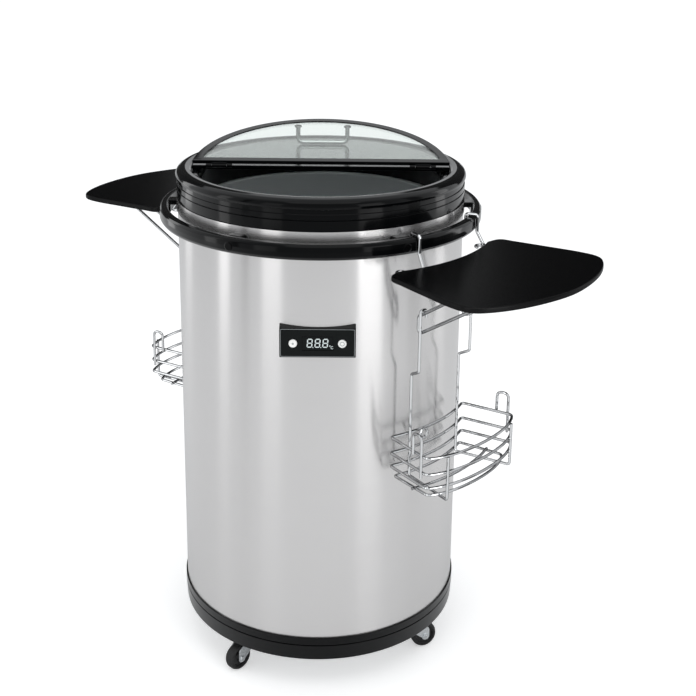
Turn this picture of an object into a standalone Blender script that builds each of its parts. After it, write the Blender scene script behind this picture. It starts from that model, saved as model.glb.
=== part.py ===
"""Upright drinks cooler on castors: a steel barrel with a lidded tub, a rail round the collar,
two side trays hung on the rail and a wire bottle basket under each tray.

Metres, +Z up. The origin is on the ground below the barrel's axis and the display faces -Y.
The front half of the lid lies folded back over the fixed rear half.
"""

from math import acos, asin, atan2, cos, hypot, pi, radians, sin, tan

import bmesh
import bpy
from mathutils import Matrix, Vector

# ---------------------------------------------------------------- sizes shared by every piece
SEAT_GAP = 0.0003          # left between two pieces that touch
OVERRUN = 0.004            # how far a cutter runs past what it cuts
MERGE = 0.00002            # points closer than this are one
ROUND_STEPS = 42           # facets round the big rings
HIDDEN_STEPS = 24          # facets round the pieces inside
SMALL_STEPS = 16           # facets round castors and other small turned pieces
PIN_STEPS = 10             # facets round pins and axles
FACET_SHRINK_SHARE = cos(pi / ROUND_STEPS)   # a flat facet's middle lies this much nearer the axis

# Barrel and base: every radius below is set off from the barrel's
BARREL_RADIUS = 0.2125
BARREL_HEIGHT = 0.597      # steel that shows between the base and the bracket band
STEEL_WALL = 0.0008
BASE_HEIGHT = 0.0365
BASE_PROUD = 0.0023
BASE_TAPER = 0.0013        # how far the foot of the base draws in
BASE_LIP = 0.0115          # height of the upper tier
BASE_GROOVE_HEIGHT = 0.0015
BASE_GROOVE_DEPTH = 0.0018
BASE_WALL = 0.0098
BASE_FLANGE = 0.010
BASE_FLOOR = 0.0040
BASE_REBATE = 0.0100       # depth of the steel's seat in the base
BASE_ROUND = 0.0012
BASE_PLATE_WALL = 0.0020

# Bracket band, rail and collar
BAND_HEIGHT = 0.0185
BAND_PROUD = 0.0010
BAND_SECTION = 0.0135
BAND_SKIRT = 0.0100
BAND_ROUND = 0.0010
BRACKET_COUNT = 6
BRACKET_WIDTH = 0.020
BRACKET_ARM = 0.0080
BRACKET_DROP = 0.0018      # from the band's top to the arm's top, as the arm leaves the band
BRACKET_PAD = 0.0030
BRACKET_PAD_HEIGHT = 0.0175
RAIL_REACH = 0.0267        # from the barrel out to the rail's face
RAIL_WIDTH = 0.0112
RAIL_HEIGHT = 0.0220
RAIL_ABOVE_BAND_FOOT = 0.0080   # the rail's top stands this far over the band's foot
COLLAR_HEIGHT = 0.0444
COLLAR_PROUD = 0.0027
COLLAR_LIP = 0.0237        # from the collar's widest line in to the lid's seat
COLLAR_BAND_INSET = 0.0018
COLLAR_STEP = 0.0014       # depth of the lines round the collar
COLLAR_LEDGE_DROP = 0.0077 # from the collar's top down to the ledge under the lid
COLLAR_LEDGE = 0.0080
COLLAR_WALL = 0.0150
COLLAR_SKIRT = 0.0100      # how far the collar's inner wall reaches down inside the band

# Tub and insulation
LINER_WALL = 0.0020
FOAM_WALL = 0.0335         # from the barrel in to the tub, at its rim
LINER_DRAFT = 0.0045
LINER_CORNER = 0.0180
CORNER_STEPS = 2
FOAM_FLOOR = 0.0380

# Lid
LID_STEPS = 20             # facets along a half lid's arc
LID_CLEARANCE = 0.0008
LID_THICKNESS = 0.0055
LID_FRAME_WIDTH = 0.0120
GLASS_THICKNESS = 0.0040
GLASS_BITE = 0.0030        # how far the frame holds the glass edge
BAR_WIDTH = 0.0240
BAR_THICKNESS = 0.0062
HINGE_FORWARD = 0.0155     # hinge axis in front of the barrel's axis
HINGE_RISE = 0.0070        # hinge axis above the ledge
HINGE_EYE_RADIUS = 0.0031
HINGE_EYE_LENGTH = 0.0220
HINGE_EAR_LENGTH = 0.0080
HINGE_FROM_EDGE = 0.0407   # from the lid's edge in to each hinge's middle
HINGE_PIN_RADIUS = 0.0013
HANDLE_SPAN = 0.0780
HANDLE_HEIGHT = 0.0305
HANDLE_RADIUS = 0.0034
HANDLE_CORNER = 0.0110
HANDLE_FROM_EDGE = 0.0247
HANDLE_FOOT_RADIUS = 0.0058
HANDLE_FOOT_HEIGHT = 0.0022

# Display on the front of the barrel
DISPLAY_WIDTH = 0.1040
DISPLAY_HEIGHT = 0.0470
DISPLAY_PROUD = 0.0040
DISPLAY_BITE = 0.0015      # the housing's sides reach this far past the barrel's face
DISPLAY_UNDER_BAND = 0.1345
DISPLAY_ROUND = 0.0022
WINDOW_HEIGHT = 0.0200
WINDOW_THICKNESS = 0.0010
WINDOW_DROP = 0.0030       # the window and buttons sit this far under the housing's middle
BUTTON_RADIUS = 0.0058
BUTTON_FROM_EDGE = 0.0185  # from the housing's side in to a button's middle
BUTTON_FROM_WINDOW = 0.0067
BUTTON_PROUD = 0.0016
BUTTON_LENGTH = 0.0050

# Trays and their wire brackets
TRAY_TURN = radians(-43.0)
TRAY_TOP_UNDER_RAIL = 0.0355    # tray top below the rail's top
TRAY_THICKNESS = 0.0080
TRAY_STANDOFF = 0.0183     # from the rail's face out to the tray
TRAY_INNER_TURN = radians(22.0)  # half the arc of its inner edge
TRAY_REACH = 0.1875
TRAY_HALF_WIDTH = 0.1500
TRAY_EDGE_SHARE = 0.9975   # the edge's chords lie this much nearer the barrel
TRAY_ROUND = 0.0022
BRACKET_WIRE = 0.0024
HOOK_TURNS = (radians(-12.8), radians(21.5))
HOOK_TIP = 0.0120
HOOK_ROUND = 0.0018
STRUT_ROUND = 0.0040
RIM_WIRE_TURN = radians(20.5)
CURL_RADIUS = 0.0070
STRUT_TURN = radians(12.0)
STRUT_ARM_REACH = 0.1360
STRUT_NOSE_STANDOFF = 0.0275    # from the barrel out to the struts' noses
STRUT_NOSE_DROP = 0.0660   # from the arm down to the upper leg's inner end
STRUT_NOSE_HEIGHT = 0.0260
STRUT_UPPER_REACH = 0.0900

# Bottle baskets
BASKET_WIRE = 0.0021
BASKET_HANGER_OUT = 0.0100 # from the struts' noses out to the hangers
BASKET_STEP_IN = 0.0165
BASKET_STEP_UNDER_STRUT = 0.0840
BASKET_TOP_UNDER_STEP = 0.0980
BASKET_HEIGHT = 0.0610
BASKET_DEPTH = 0.0880
BASKET_INSET = 0.0100
BASKET_CORNER = 0.0080
BASKET_INNER_HALF_TURN = radians(20.6)
BASKET_OUTER_HALF_TURN = radians(18.4)
BASKET_LOOP_RISE = 0.0300
BASKET_LOOP_WIDTH = 0.0180
BASKET_EYE_RADIUS = 0.0070
WELD_BITE = 0.0009         # how far two welded wires sink into each other

# Castors
CASTOR_EDGE_GAP = 0.0015   # between a castor's cap and the base's foot
CASTOR_TURN = radians(9.0)
CASTOR_COUNT = 4
CASTOR_TRAILS = (radians(22.0), radians(38.0), radians(152.0), radians(225.0))
CASTOR_TRAIL = 0.0200
WHEEL_RADIUS = 0.0200
WHEEL_WIDTH = 0.0150
AXLE_RADIUS = 0.0030
FORK_WALL = 0.0020
FORK_SIDE_GAP = 0.0010
FORK_ROUND = 0.0065
FORK_CROWN_RADIUS = 0.0125
WHEEL_HEADROOM = 0.0040    # between the wheel and the crown over it
KINGPIN_RADIUS = 0.0040
KINGPIN_LENGTH = 0.0070
CASTOR_CAP_RADIUS = 0.0135
CASTOR_CAP_HEIGHT = 0.0080

# Behind: vent, drain and cord inlet
VENT_OVER_BASE = 0.0615
VENT_WIDTH = 0.1280
VENT_HEIGHT = 0.0900
VENT_RIM = 0.0050
VENT_PROUD = 0.0022
VENT_BODY = 0.0035
VENT_SLOTS = 7
VENT_SLOT_HEIGHT = 0.0050
VENT_SLOT_MARGIN = 0.0100
DRAIN_TURN = radians(122.0)
DRAIN_RADIUS = 0.0070
DRAIN_BORE = 0.0045
DRAIN_OVER_FLOOR = 0.0250
DRAIN_FLANGE_RADIUS = 0.0125
DRAIN_FLANGE = 0.0030
DRAIN_SPOUT = 0.0130
DRAIN_CAP_RADIUS = 0.0098
DRAIN_CAP_LENGTH = 0.0120
GLAND_TURN = radians(58.0)
GLAND_OVER_BASE = 0.0295
GLAND_RADIUS = 0.0065
GLAND_FLANGE_RADIUS = 0.0095
GLAND_FLANGE = 0.0025
GLAND_NOSE = 0.0120
GLAND_BORE = 0.0035
COMPRESSOR_RADIUS = 0.0600
COMPRESSOR_HEIGHT = 0.1350
COMPRESSOR_HEADROOM = 0.0324

# ---------------------------------------------------------------- places worked out from them
FORK_CROWN_RISE = 2 * WHEEL_RADIUS + WHEEL_HEADROOM
BASE_FOOT = FORK_CROWN_RISE + CASTOR_CAP_HEIGHT
BASE_TOP = BASE_FOOT + BASE_HEIGHT
STEEL_FOOT = BASE_TOP - BASE_REBATE + SEAT_GAP
BAND_FOOT = BASE_TOP + BARREL_HEIGHT
STEEL_TOP = BAND_FOOT - SEAT_GAP
BAND_TOP = BAND_FOOT + BAND_HEIGHT
COLLAR_FOOT = BAND_TOP + SEAT_GAP
COLLAR_TOP = COLLAR_FOOT + COLLAR_HEIGHT
LEDGE = COLLAR_TOP - COLLAR_LEDGE_DROP
LID_FOOT = LEDGE + SEAT_GAP
LID_TOP = LID_FOOT + LID_THICKNESS
BASE_RADIUS = BARREL_RADIUS + BASE_PROUD
BASE_INNER = BASE_RADIUS - BASE_WALL
CASTOR_CIRCLE = BASE_INNER - BASE_FLANGE - CASTOR_EDGE_GAP - CASTOR_CAP_RADIUS
COLLAR_RADIUS = BARREL_RADIUS + COLLAR_PROUD
COLLAR_OPENING = COLLAR_RADIUS - COLLAR_LIP
COLLAR_BAND = COLLAR_RADIUS - COLLAR_BAND_INSET
LID_RADIUS = COLLAR_OPENING - LID_CLEARANCE
HINGE_SPREAD = LID_RADIUS - HINGE_FROM_EDGE
HANDLE_FROM_AXIS = LID_RADIUS - HANDLE_FROM_EDGE
RAIL_TOP = BAND_FOOT + RAIL_ABOVE_BAND_FOOT
RAIL_FOOT = RAIL_TOP - RAIL_HEIGHT
RAIL_RADIUS = BARREL_RADIUS + RAIL_REACH
RAIL_INNER = RAIL_RADIUS - RAIL_WIDTH
HINGE_Y = -HINGE_FORWARD
HINGE_Z = LEDGE + HINGE_RISE
BAND_RADIUS = BARREL_RADIUS + BAND_PROUD
BAND_INNER = BAND_RADIUS - BAND_SECTION
COLLAR_INNER = COLLAR_OPENING - COLLAR_LEDGE
COMPRESSOR_FOOT = BASE_FOOT + BASE_FLOOR + SEAT_GAP + BASE_PLATE_WALL + SEAT_GAP
FOAM_FOOT = COMPRESSOR_FOOT + COMPRESSOR_HEIGHT + COMPRESSOR_HEADROOM
LINER_RADIUS = BARREL_RADIUS - FOAM_WALL
LINER_TOP = COLLAR_FOOT - COLLAR_SKIRT - SEAT_GAP
LINER_FLOOR = FOAM_FOOT + FOAM_FLOOR
FOAM_RADIUS = BARREL_RADIUS - STEEL_WALL - SEAT_GAP
DISPLAY_MIDDLE = BAND_FOOT - DISPLAY_UNDER_BAND
DISPLAY_SAGITTA = BARREL_RADIUS - BARREL_RADIUS * cos(asin(DISPLAY_WIDTH / 2 / BARREL_RADIUS))
DISPLAY_DEPTH = DISPLAY_PROUD + DISPLAY_SAGITTA + DISPLAY_BITE
BUTTON_SPREAD = DISPLAY_WIDTH / 2 - BUTTON_FROM_EDGE
WINDOW_WIDTH = 2 * (BUTTON_SPREAD - BUTTON_RADIUS - BUTTON_FROM_WINDOW)
VENT_MIDDLE = BASE_TOP + VENT_OVER_BASE
GLAND_HEIGHT = BASE_TOP + GLAND_OVER_BASE
TRAY_INNER = RAIL_RADIUS + TRAY_STANDOFF
TRAY_TOP = RAIL_TOP - TRAY_TOP_UNDER_RAIL
TRAY_FOOT = TRAY_TOP - TRAY_THICKNESS
STRUT_ARM_LEVEL = TRAY_FOOT - SEAT_GAP - BRACKET_WIRE
RIM_WIRE_LEVEL = STRUT_ARM_LEVEL + 2 * BRACKET_WIRE - WELD_BITE
STRUT_NOSE_RADIUS = BARREL_RADIUS + STRUT_NOSE_STANDOFF
BASKET_HANGER_RADIUS = STRUT_NOSE_RADIUS + BASKET_HANGER_OUT
HANGER_ASIDE = BRACKET_WIRE + 2 * SEAT_GAP + BASKET_WIRE
HANGER_TURN = STRUT_TURN + HANGER_ASIDE / BASKET_HANGER_RADIUS
BASKET_INNER = BASKET_HANGER_RADIUS - BASKET_STEP_IN - 2 * BASKET_WIRE + WELD_BITE
RIM_WIRE_RADIUS = TRAY_INNER * TRAY_EDGE_SHARE - SEAT_GAP - BRACKET_WIRE

for old in list(bpy.data.objects):
    bpy.data.objects.remove(old, do_unlink=True)

PARTS = bpy.data.collections.new("party_cooler")
CUTTERS = bpy.data.collections.new("cutters")
bpy.context.scene.collection.children.link(PARTS)
bpy.context.scene.collection.children.link(CUTTERS)
CUTTERS.hide_render = True


# ---------------------------------------------------------------- helpers
def surface(name, colour, roughness, metallic=0.0, transmission=0.0):
    """A Principled material with the piece's colour, roughness and metallic value."""
    made = bpy.data.materials.new(name)
    made.use_nodes = True
    shader = made.node_tree.nodes["Principled BSDF"]
    shader.inputs["Base Color"].default_value = (*colour, 1.0)
    shader.inputs["Roughness"].default_value = roughness
    shader.inputs["Metallic"].default_value = metallic
    shader.inputs["Transmission Weight"].default_value = transmission
    return made


STEEL = surface("brushed_stainless", (0.56, 0.56, 0.56), 0.34, 1.0)
CHROME = surface("chromed_wire", (0.75, 0.75, 0.76), 0.12, 1.0)
ZINC = surface("zinc_plate", (0.62, 0.63, 0.64), 0.30, 1.0)
GLOSS_BLACK = surface("gloss_black_plastic", (0.008, 0.008, 0.009), 0.16)
SATIN_BLACK = surface("satin_black_plastic", (0.012, 0.012, 0.013), 0.42)
GREY_PLASTIC = surface("grey_liner", (0.42, 0.43, 0.44), 0.35)
FOAM = surface("insulating_foam", (0.75, 0.68, 0.45), 0.90)
GLASS = surface("lid_glass", (0.92, 0.95, 0.94), 0.03, 0.0, 0.9)
WINDOW = surface("dark_window", (0.01, 0.01, 0.012), 0.08)
WHITE = surface("white_button", (0.80, 0.80, 0.80), 0.35)
RUBBER = surface("black_rubber", (0.02, 0.02, 0.02), 0.70)
PAINTED = surface("painted_steel", (0.015, 0.015, 0.016), 0.35)


def place(name, data, material, collection=PARTS):
    """Makes an object of this data, with smooth faces between its sharp edges."""
    made = bpy.data.objects.new(name, data)
    collection.objects.link(made)
    if material is not None:
        data.materials.clear()
        data.materials.append(material)
    if isinstance(data, bpy.types.Mesh):
        data.shade_smooth()
        data.set_sharp_from_angle(angle=radians(35))
    return made


def as_cutter(piece):
    """Moves a shape to the cutters, drawn as wire and left out of a render."""
    for home in list(piece.users_collection):
        home.objects.unlink(piece)
    CUTTERS.objects.link(piece)
    piece.hide_render = True
    piece.display_type = "WIRE"
    return piece


def boolean(piece, tool, operation):
    """Adds one Boolean to a piece; the tool stays a live cutter."""
    cut = piece.modifiers.new(operation.lower(), "BOOLEAN")
    cut.operation = operation
    cut.object = tool
    cut.solver = "EXACT"
    return piece


def solid_mesh(piece, name):
    """The piece as its modifiers leave it, as a welded mesh in world space."""
    bpy.context.view_layer.update()
    ready = piece.evaluated_get(bpy.context.evaluated_depsgraph_get())
    mesh = bpy.data.meshes.new_from_object(ready)
    mesh.name = name
    mesh.transform(piece.matrix_world)
    work = bmesh.new()
    work.from_mesh(mesh)
    bmesh.ops.remove_doubles(work, verts=work.verts, dist=MERGE)
    bmesh.ops.dissolve_degenerate(work, edges=work.edges, dist=MERGE)
    bmesh.ops.recalc_face_normals(work, faces=work.faces)
    work.to_mesh(mesh)
    work.free()
    return mesh


def baked(piece, material, name=None):
    """Replaces a piece by its own evaluated mesh, which takes Booleans."""
    name = name or piece.name
    mesh = solid_mesh(piece, name)
    bpy.data.objects.remove(piece, do_unlink=True)
    return place(name, mesh, material)


def fused(name, pieces, material):
    """Joins shapes that bite into one another into one closed body."""
    whole = pieces[0]
    for extra in pieces[1:]:
        boolean(whole, extra, "UNION")
    mesh = solid_mesh(whole, name)
    for piece in pieces:
        bpy.data.objects.remove(piece, do_unlink=True)
    return place(name, mesh, material)


def turned(name, profile, material, steps=ROUND_STEPS):
    """Spins a closed profile of (radius, height) points round Z. It runs down its outer side."""
    mesh = bpy.data.meshes.new(name)
    points = [(radius, 0.0, height) for radius, height in profile]
    count = len(points)
    edges = [(i, (i + 1) % count) for i in range(count)
             if points[i][0] > MERGE or points[(i + 1) % count][0] > MERGE]
    mesh.from_pydata(points, edges, [])
    made = place(name, mesh, material)
    spin = made.modifiers.new("spin", "SCREW")
    spin.axis = "Z"
    spin.steps = steps
    spin.render_steps = steps
    spin.use_merge_vertices = True
    spin.merge_threshold = MERGE
    spin.use_smooth_shade = True
    return baked(made, material)


def block(name, size, centre, material, turn=0.0):
    """A box of this size about a centre, turned about Z."""
    work = bmesh.new()
    bmesh.ops.create_cube(work, size=1.0)
    bmesh.ops.scale(work, vec=Vector(size), verts=work.verts)
    mesh = bpy.data.meshes.new(name)
    work.to_mesh(mesh)
    work.free()
    mesh.transform(Matrix.Rotation(turn, 4, "Z") @ Matrix.Translation(centre))
    return place(name, mesh, material)


def rod(name, radius, start, end, material, steps=SMALL_STEPS):
    """A round bar from one point to another."""
    start = Vector(start)
    way = Vector(end) - start
    work = bmesh.new()
    bmesh.ops.create_cone(work, cap_ends=True, segments=steps, radius1=radius, radius2=radius,
                          depth=way.length)
    mesh = bpy.data.meshes.new(name)
    work.to_mesh(mesh)
    work.free()
    facing = way.to_track_quat("Z", "Y").to_matrix().to_4x4()
    mesh.transform(Matrix.Translation(start + way / 2) @ facing)
    return place(name, mesh, material)


def wire(name, points, radius, material, cyclic=False, resolution=1):
    """A bent wire through these points, with filled ends."""
    data = bpy.data.curves.new(name, "CURVE")
    data.dimensions = "3D"
    data.bevel_depth = radius
    data.bevel_resolution = resolution
    data.use_fill_caps = True
    spline = data.splines.new("POLY")
    spline.points.add(len(points) - 1)
    for knot, point in zip(spline.points, points):
        knot.co = (*point, 1.0)
    spline.use_cyclic_u = cyclic
    made = bpy.data.objects.new(name, data)
    PARTS.objects.link(made)
    return baked(made, material)


def flat(name, outlines, thickness, material, edge_round=0.0, smooth=False):
    """A plate with these outlines, centred on z = 0; a second outline is a hole.

    A point of a smooth outline may carry the run of its handles.
    """
    data = bpy.data.curves.new(name, "CURVE")
    data.dimensions = "2D"
    data.fill_mode = "BOTH"
    data.extrude = thickness / 2 - edge_round
    data.bevel_depth = edge_round
    data.offset = -edge_round
    data.bevel_resolution = 0
    data.resolution_u = 2
    for outline in outlines:
        kind = "BEZIER" if smooth else "POLY"
        spline = data.splines.new(kind)
        if smooth:
            spline.bezier_points.add(len(outline) - 1)
            for knot, (x, y, *run) in zip(spline.bezier_points, outline):
                knot.co = (x, y, 0.0)
                knot.handle_left_type = knot.handle_right_type = "FREE" if run else "AUTO"
                if run:
                    knot.handle_left = (x - run[0], y - run[1], 0.0)
                    knot.handle_right = (x + run[0], y + run[1], 0.0)
        else:
            spline.points.add(len(outline) - 1)
            for knot, (x, y) in zip(spline.points, outline):
                knot.co = (x, y, 0.0, 1.0)
        spline.use_cyclic_u = True
    made = bpy.data.objects.new(name, data)
    PARTS.objects.link(made)
    return baked(made, material)


def moved(piece, matrix):
    """Moves a piece's mesh, leaving its origin where it is."""
    piece.data.transform(matrix)
    return piece


def polar(radius, turn, height):
    return Vector((radius * cos(turn), radius * sin(turn), height))


def bend(before, corner, after, radius, steps=2):
    """Points of a rounded corner between two straight runs."""
    a = (before - corner).normalized()
    b = (after - corner).normalized()
    start = corner + a * radius
    end = corner + b * radius
    points = []
    for i in range(steps + 1):
        share = i / steps
        points.append(start * (1 - share) ** 2 + corner * 2 * share * (1 - share) + end * share ** 2)
    return points


def rounded(points, radius, cyclic=False, steps=1):
    """A polyline with each inner corner rounded; short runs get a smaller radius."""
    count = len(points)
    made = []
    for i, corner in enumerate(points):
        if not cyclic and i in (0, count - 1):
            made.append(corner)
            continue
        before = points[i - 1]
        after = points[(i + 1) % count]
        room = min((before - corner).length, (after - corner).length) / 2
        made.extend(bend(before, corner, after, min(radius, room), steps))
    clean = [made[0]]
    for point in made[1:]:
        if (point - clean[-1]).length > MERGE * 10:
            clean.append(point)
    if cyclic and (clean[0] - clean[-1]).length <= MERGE * 10:
        clean.pop()
    return clean


# ---------------------------------------------------------------- base
def build_base():
    foot, top = BASE_FOOT, BASE_TOP
    tier = top - BASE_LIP
    groove = tier - BASE_GROOVE_HEIGHT
    rebate = BARREL_RADIUS + SEAT_GAP
    inner = BASE_INNER
    flange = inner - BASE_FLANGE
    ring = turned("base_ring", [
        (rebate, top),
        (BASE_RADIUS - BASE_ROUND / 2, top),
        (BASE_RADIUS, top - BASE_ROUND),
        (BASE_RADIUS, tier),
        (BASE_RADIUS - BASE_GROOVE_DEPTH, tier),
        (BASE_RADIUS - BASE_GROOVE_DEPTH, groove),
        (BASE_RADIUS, groove),
        (BASE_RADIUS - BASE_TAPER, foot),
        (flange, foot),
        (flange, foot + BASE_FLOOR),
        (inner, foot + BASE_FLOOR),
        (inner, top - BASE_REBATE),
        (rebate, top - BASE_REBATE),
    ], GLOSS_BLACK)
    plate_foot = foot + BASE_FLOOR + SEAT_GAP
    plate = turned("base_plate", [
        (0.0, plate_foot + BASE_PLATE_WALL),
        (inner * FACET_SHRINK_SHARE - SEAT_GAP, plate_foot + BASE_PLATE_WALL),
        (inner * FACET_SHRINK_SHARE - SEAT_GAP, plate_foot),
        (0.0, plate_foot),
    ], ZINC, HIDDEN_STEPS)
    return ring, plate


# ---------------------------------------------------------------- barrel
def vent_box(name, margin, inner, outer):
    """A block over the vent, wider than it by the margin, between two radii at the back."""
    size = (VENT_WIDTH + 2 * margin, outer - inner, VENT_HEIGHT + 2 * margin)
    return block(name, size, (0.0, (inner + outer) / 2, VENT_MIDDLE), None)


def build_barrel():
    outer, inner = BARREL_RADIUS, BARREL_RADIUS - STEEL_WALL
    shell = turned("steel_shell", [
        (inner, STEEL_TOP),
        (outer, STEEL_TOP),
        (outer, STEEL_FOOT),
        (inner, STEEL_FOOT),
    ], STEEL)
    opening = as_cutter(vent_box("vent_opening", 0.0, BARREL_RADIUS / 2, BARREL_RADIUS + OVERRUN))
    boolean(shell, opening, "DIFFERENCE")
    drain = as_cutter(rod("drain_hole", DRAIN_RADIUS + SEAT_GAP,
                          polar(LINER_RADIUS - LINER_DRAFT - LINER_WALL - 2 * OVERRUN, DRAIN_TURN,
                                LINER_FLOOR + DRAIN_OVER_FLOOR),
                          polar(BARREL_RADIUS + OVERRUN, DRAIN_TURN,
                                LINER_FLOOR + DRAIN_OVER_FLOOR), None))
    gland = as_cutter(rod("gland_hole", GLAND_RADIUS + SEAT_GAP,
                          polar(BARREL_RADIUS - OVERRUN, GLAND_TURN, GLAND_HEIGHT),
                          polar(BARREL_RADIUS + OVERRUN, GLAND_TURN, GLAND_HEIGHT), None))
    boolean(shell, drain, "DIFFERENCE")
    boolean(shell, gland, "DIFFERENCE")
    return shell, drain


# ---------------------------------------------------------------- bracket band and rail
def build_band_and_rail():
    skirt = FOAM_RADIUS
    band = turned("bracket_band", [
        (BAND_INNER, BAND_TOP),
        (BAND_RADIUS - BAND_ROUND, BAND_TOP),
        (BAND_RADIUS, BAND_TOP - BAND_ROUND),
        (BAND_RADIUS, BAND_FOOT),
        (skirt * FACET_SHRINK_SHARE, BAND_FOOT),
        (skirt * FACET_SHRINK_SHARE, BAND_FOOT - BAND_SKIRT),
        (BAND_INNER, BAND_FOOT - BAND_SKIRT),
    ], GLOSS_BLACK)
    pad_face = RAIL_INNER * FACET_SHRINK_SHARE - SEAT_GAP
    arm_end = pad_face - BRACKET_PAD / 2
    arm_root = BAND_RADIUS - BAND_SECTION / 3
    arm_top = BAND_FOOT + BRACKET_ARM + SEAT_GAP
    pad_top = RAIL_TOP - BRACKET_DROP
    pieces = [band]
    for i in range(BRACKET_COUNT):
        turn = 2 * pi * i / BRACKET_COUNT
        arm = block("arm", (arm_end - arm_root, BRACKET_WIDTH, BRACKET_ARM),
                    ((arm_end + arm_root) / 2, 0.0, arm_top - BRACKET_ARM / 2), None, turn)
        pad = block("pad", (BRACKET_PAD, BRACKET_WIDTH - BRACKET_DROP, BRACKET_PAD_HEIGHT),
                    (pad_face - BRACKET_PAD / 2, 0.0, pad_top - BRACKET_PAD_HEIGHT / 2), None, turn)
        pieces += [arm, pad]
    band = fused("bracket_band", pieces, GLOSS_BLACK)
    shares = ((0.0, 0.03), (0.12, 0.0), (0.72, 0.0), (0.97, 0.16), (1.0, 0.50), (0.95, 0.82),
              (0.72, 0.96), (0.0, 1.0))
    profile = [(RAIL_INNER + out * RAIL_WIDTH, RAIL_FOOT + up * RAIL_HEIGHT) for out, up in shares]
    rail = turned("rail", profile[::-1], GLOSS_BLACK)
    return band, rail


# ---------------------------------------------------------------- collar
def build_collar():
    foot, top = COLLAR_FOOT, COLLAR_TOP
    band, line = COLLAR_BAND, COLLAR_BAND - COLLAR_STEP
    lip = COLLAR_RADIUS - COLLAR_OPENING
    edge_shares = ((0.0, 0.06), (0.14, 0.012), (0.40, 0.0), (0.68, 0.035), (0.90, 0.115),
                   (1.0, 0.23), (0.95, 0.315))
    edge = [(COLLAR_OPENING + out * lip, top - down * COLLAR_HEIGHT) for out, down in edge_shares]
    line_shares = ((line, 0.325), (line, 0.475), (band, 0.485), (band, 0.645), (line, 0.665),
                   (band, 0.685), (band, 1.0))
    side = [(radius, top - down * COLLAR_HEIGHT) for radius, down in line_shares]
    wall = COLLAR_INNER + COLLAR_WALL
    skirt = foot - COLLAR_SKIRT
    inside = [
        (wall, foot),
        (wall, skirt),
        (COLLAR_INNER, skirt),
        (COLLAR_INNER, LEDGE),
        (COLLAR_OPENING, LEDGE),
    ]
    return turned("collar", edge + side + inside, GLOSS_BLACK)


# ---------------------------------------------------------------- tub
def liner_line(offset, first, last):
    """The tub's wall and floor, set off outward, from its rim to the axis."""
    top = LINER_RADIUS + offset
    foot = LINER_RADIUS - LINER_DRAFT + offset
    floor = LINER_FLOOR - offset
    points = [(top, first), (foot, floor + LINER_CORNER)]
    for i in range(1, CORNER_STEPS):
        turn = pi / 2 * i / CORNER_STEPS
        points.append((foot - LINER_CORNER * (1 - cos(turn)), floor + LINER_CORNER * (1 - sin(turn))))
    points.append((foot - LINER_CORNER, floor))
    points.append((last, floor))
    return points


def build_tub(drain):
    flange = COLLAR_INNER + COLLAR_WALL
    outer = liner_line(0.0, LINER_TOP - LINER_WALL, 0.0)
    inner = liner_line(-LINER_WALL, LINER_TOP, 0.0)
    liner = turned("liner", [(flange, LINER_TOP), (flange, LINER_TOP - LINER_WALL)] + outer
                   + inner[::-1], GREY_PLASTIC, HIDDEN_STEPS)
    hollow = liner_line(2 * SEAT_GAP, LINER_TOP - LINER_WALL - SEAT_GAP, 0.0)
    shoulder = BAND_INNER - 2 * SEAT_GAP
    under_skirt = BAND_FOOT - BAND_SKIRT - SEAT_GAP
    foam = turned("insulation", [
        (shoulder * FACET_SHRINK_SHARE, hollow[0][1]),
        (shoulder * FACET_SHRINK_SHARE, under_skirt),
        (FOAM_RADIUS * FACET_SHRINK_SHARE, under_skirt),
        (FOAM_RADIUS * FACET_SHRINK_SHARE, FOAM_FOOT),
        (0.0, FOAM_FOOT),
    ] + hollow[::-1], FOAM, HIDDEN_STEPS)
    boolean(liner, drain, "DIFFERENCE")
    boolean(foam, drain, "DIFFERENCE")
    return liner, foam


def build_compressor():
    foot = COMPRESSOR_FOOT
    shares = ((0.0, 1.0), (0.60, 0.94), (0.95, 0.70), (1.0, 0.46), (1.10, 0.46),
              (1.10, 0.42), (1.0, 0.42), (0.90, 0.12), (0.72, 0.0), (0.0, 0.0))
    return turned("compressor", [(out * COMPRESSOR_RADIUS, foot + up * COMPRESSOR_HEIGHT)
                                 for out, up in shares], PAINTED, SMALL_STEPS)


# ---------------------------------------------------------------- lid
def half_outline(radius, straight, steps):
    """A half disc in front of the line y = -straight, seen from above."""
    reach = acos(straight / radius)
    return [(radius * sin(reach * (2 * i / steps - 1)), -radius * cos(reach * (2 * i / steps - 1)))
            for i in range(steps + 1)]


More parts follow.
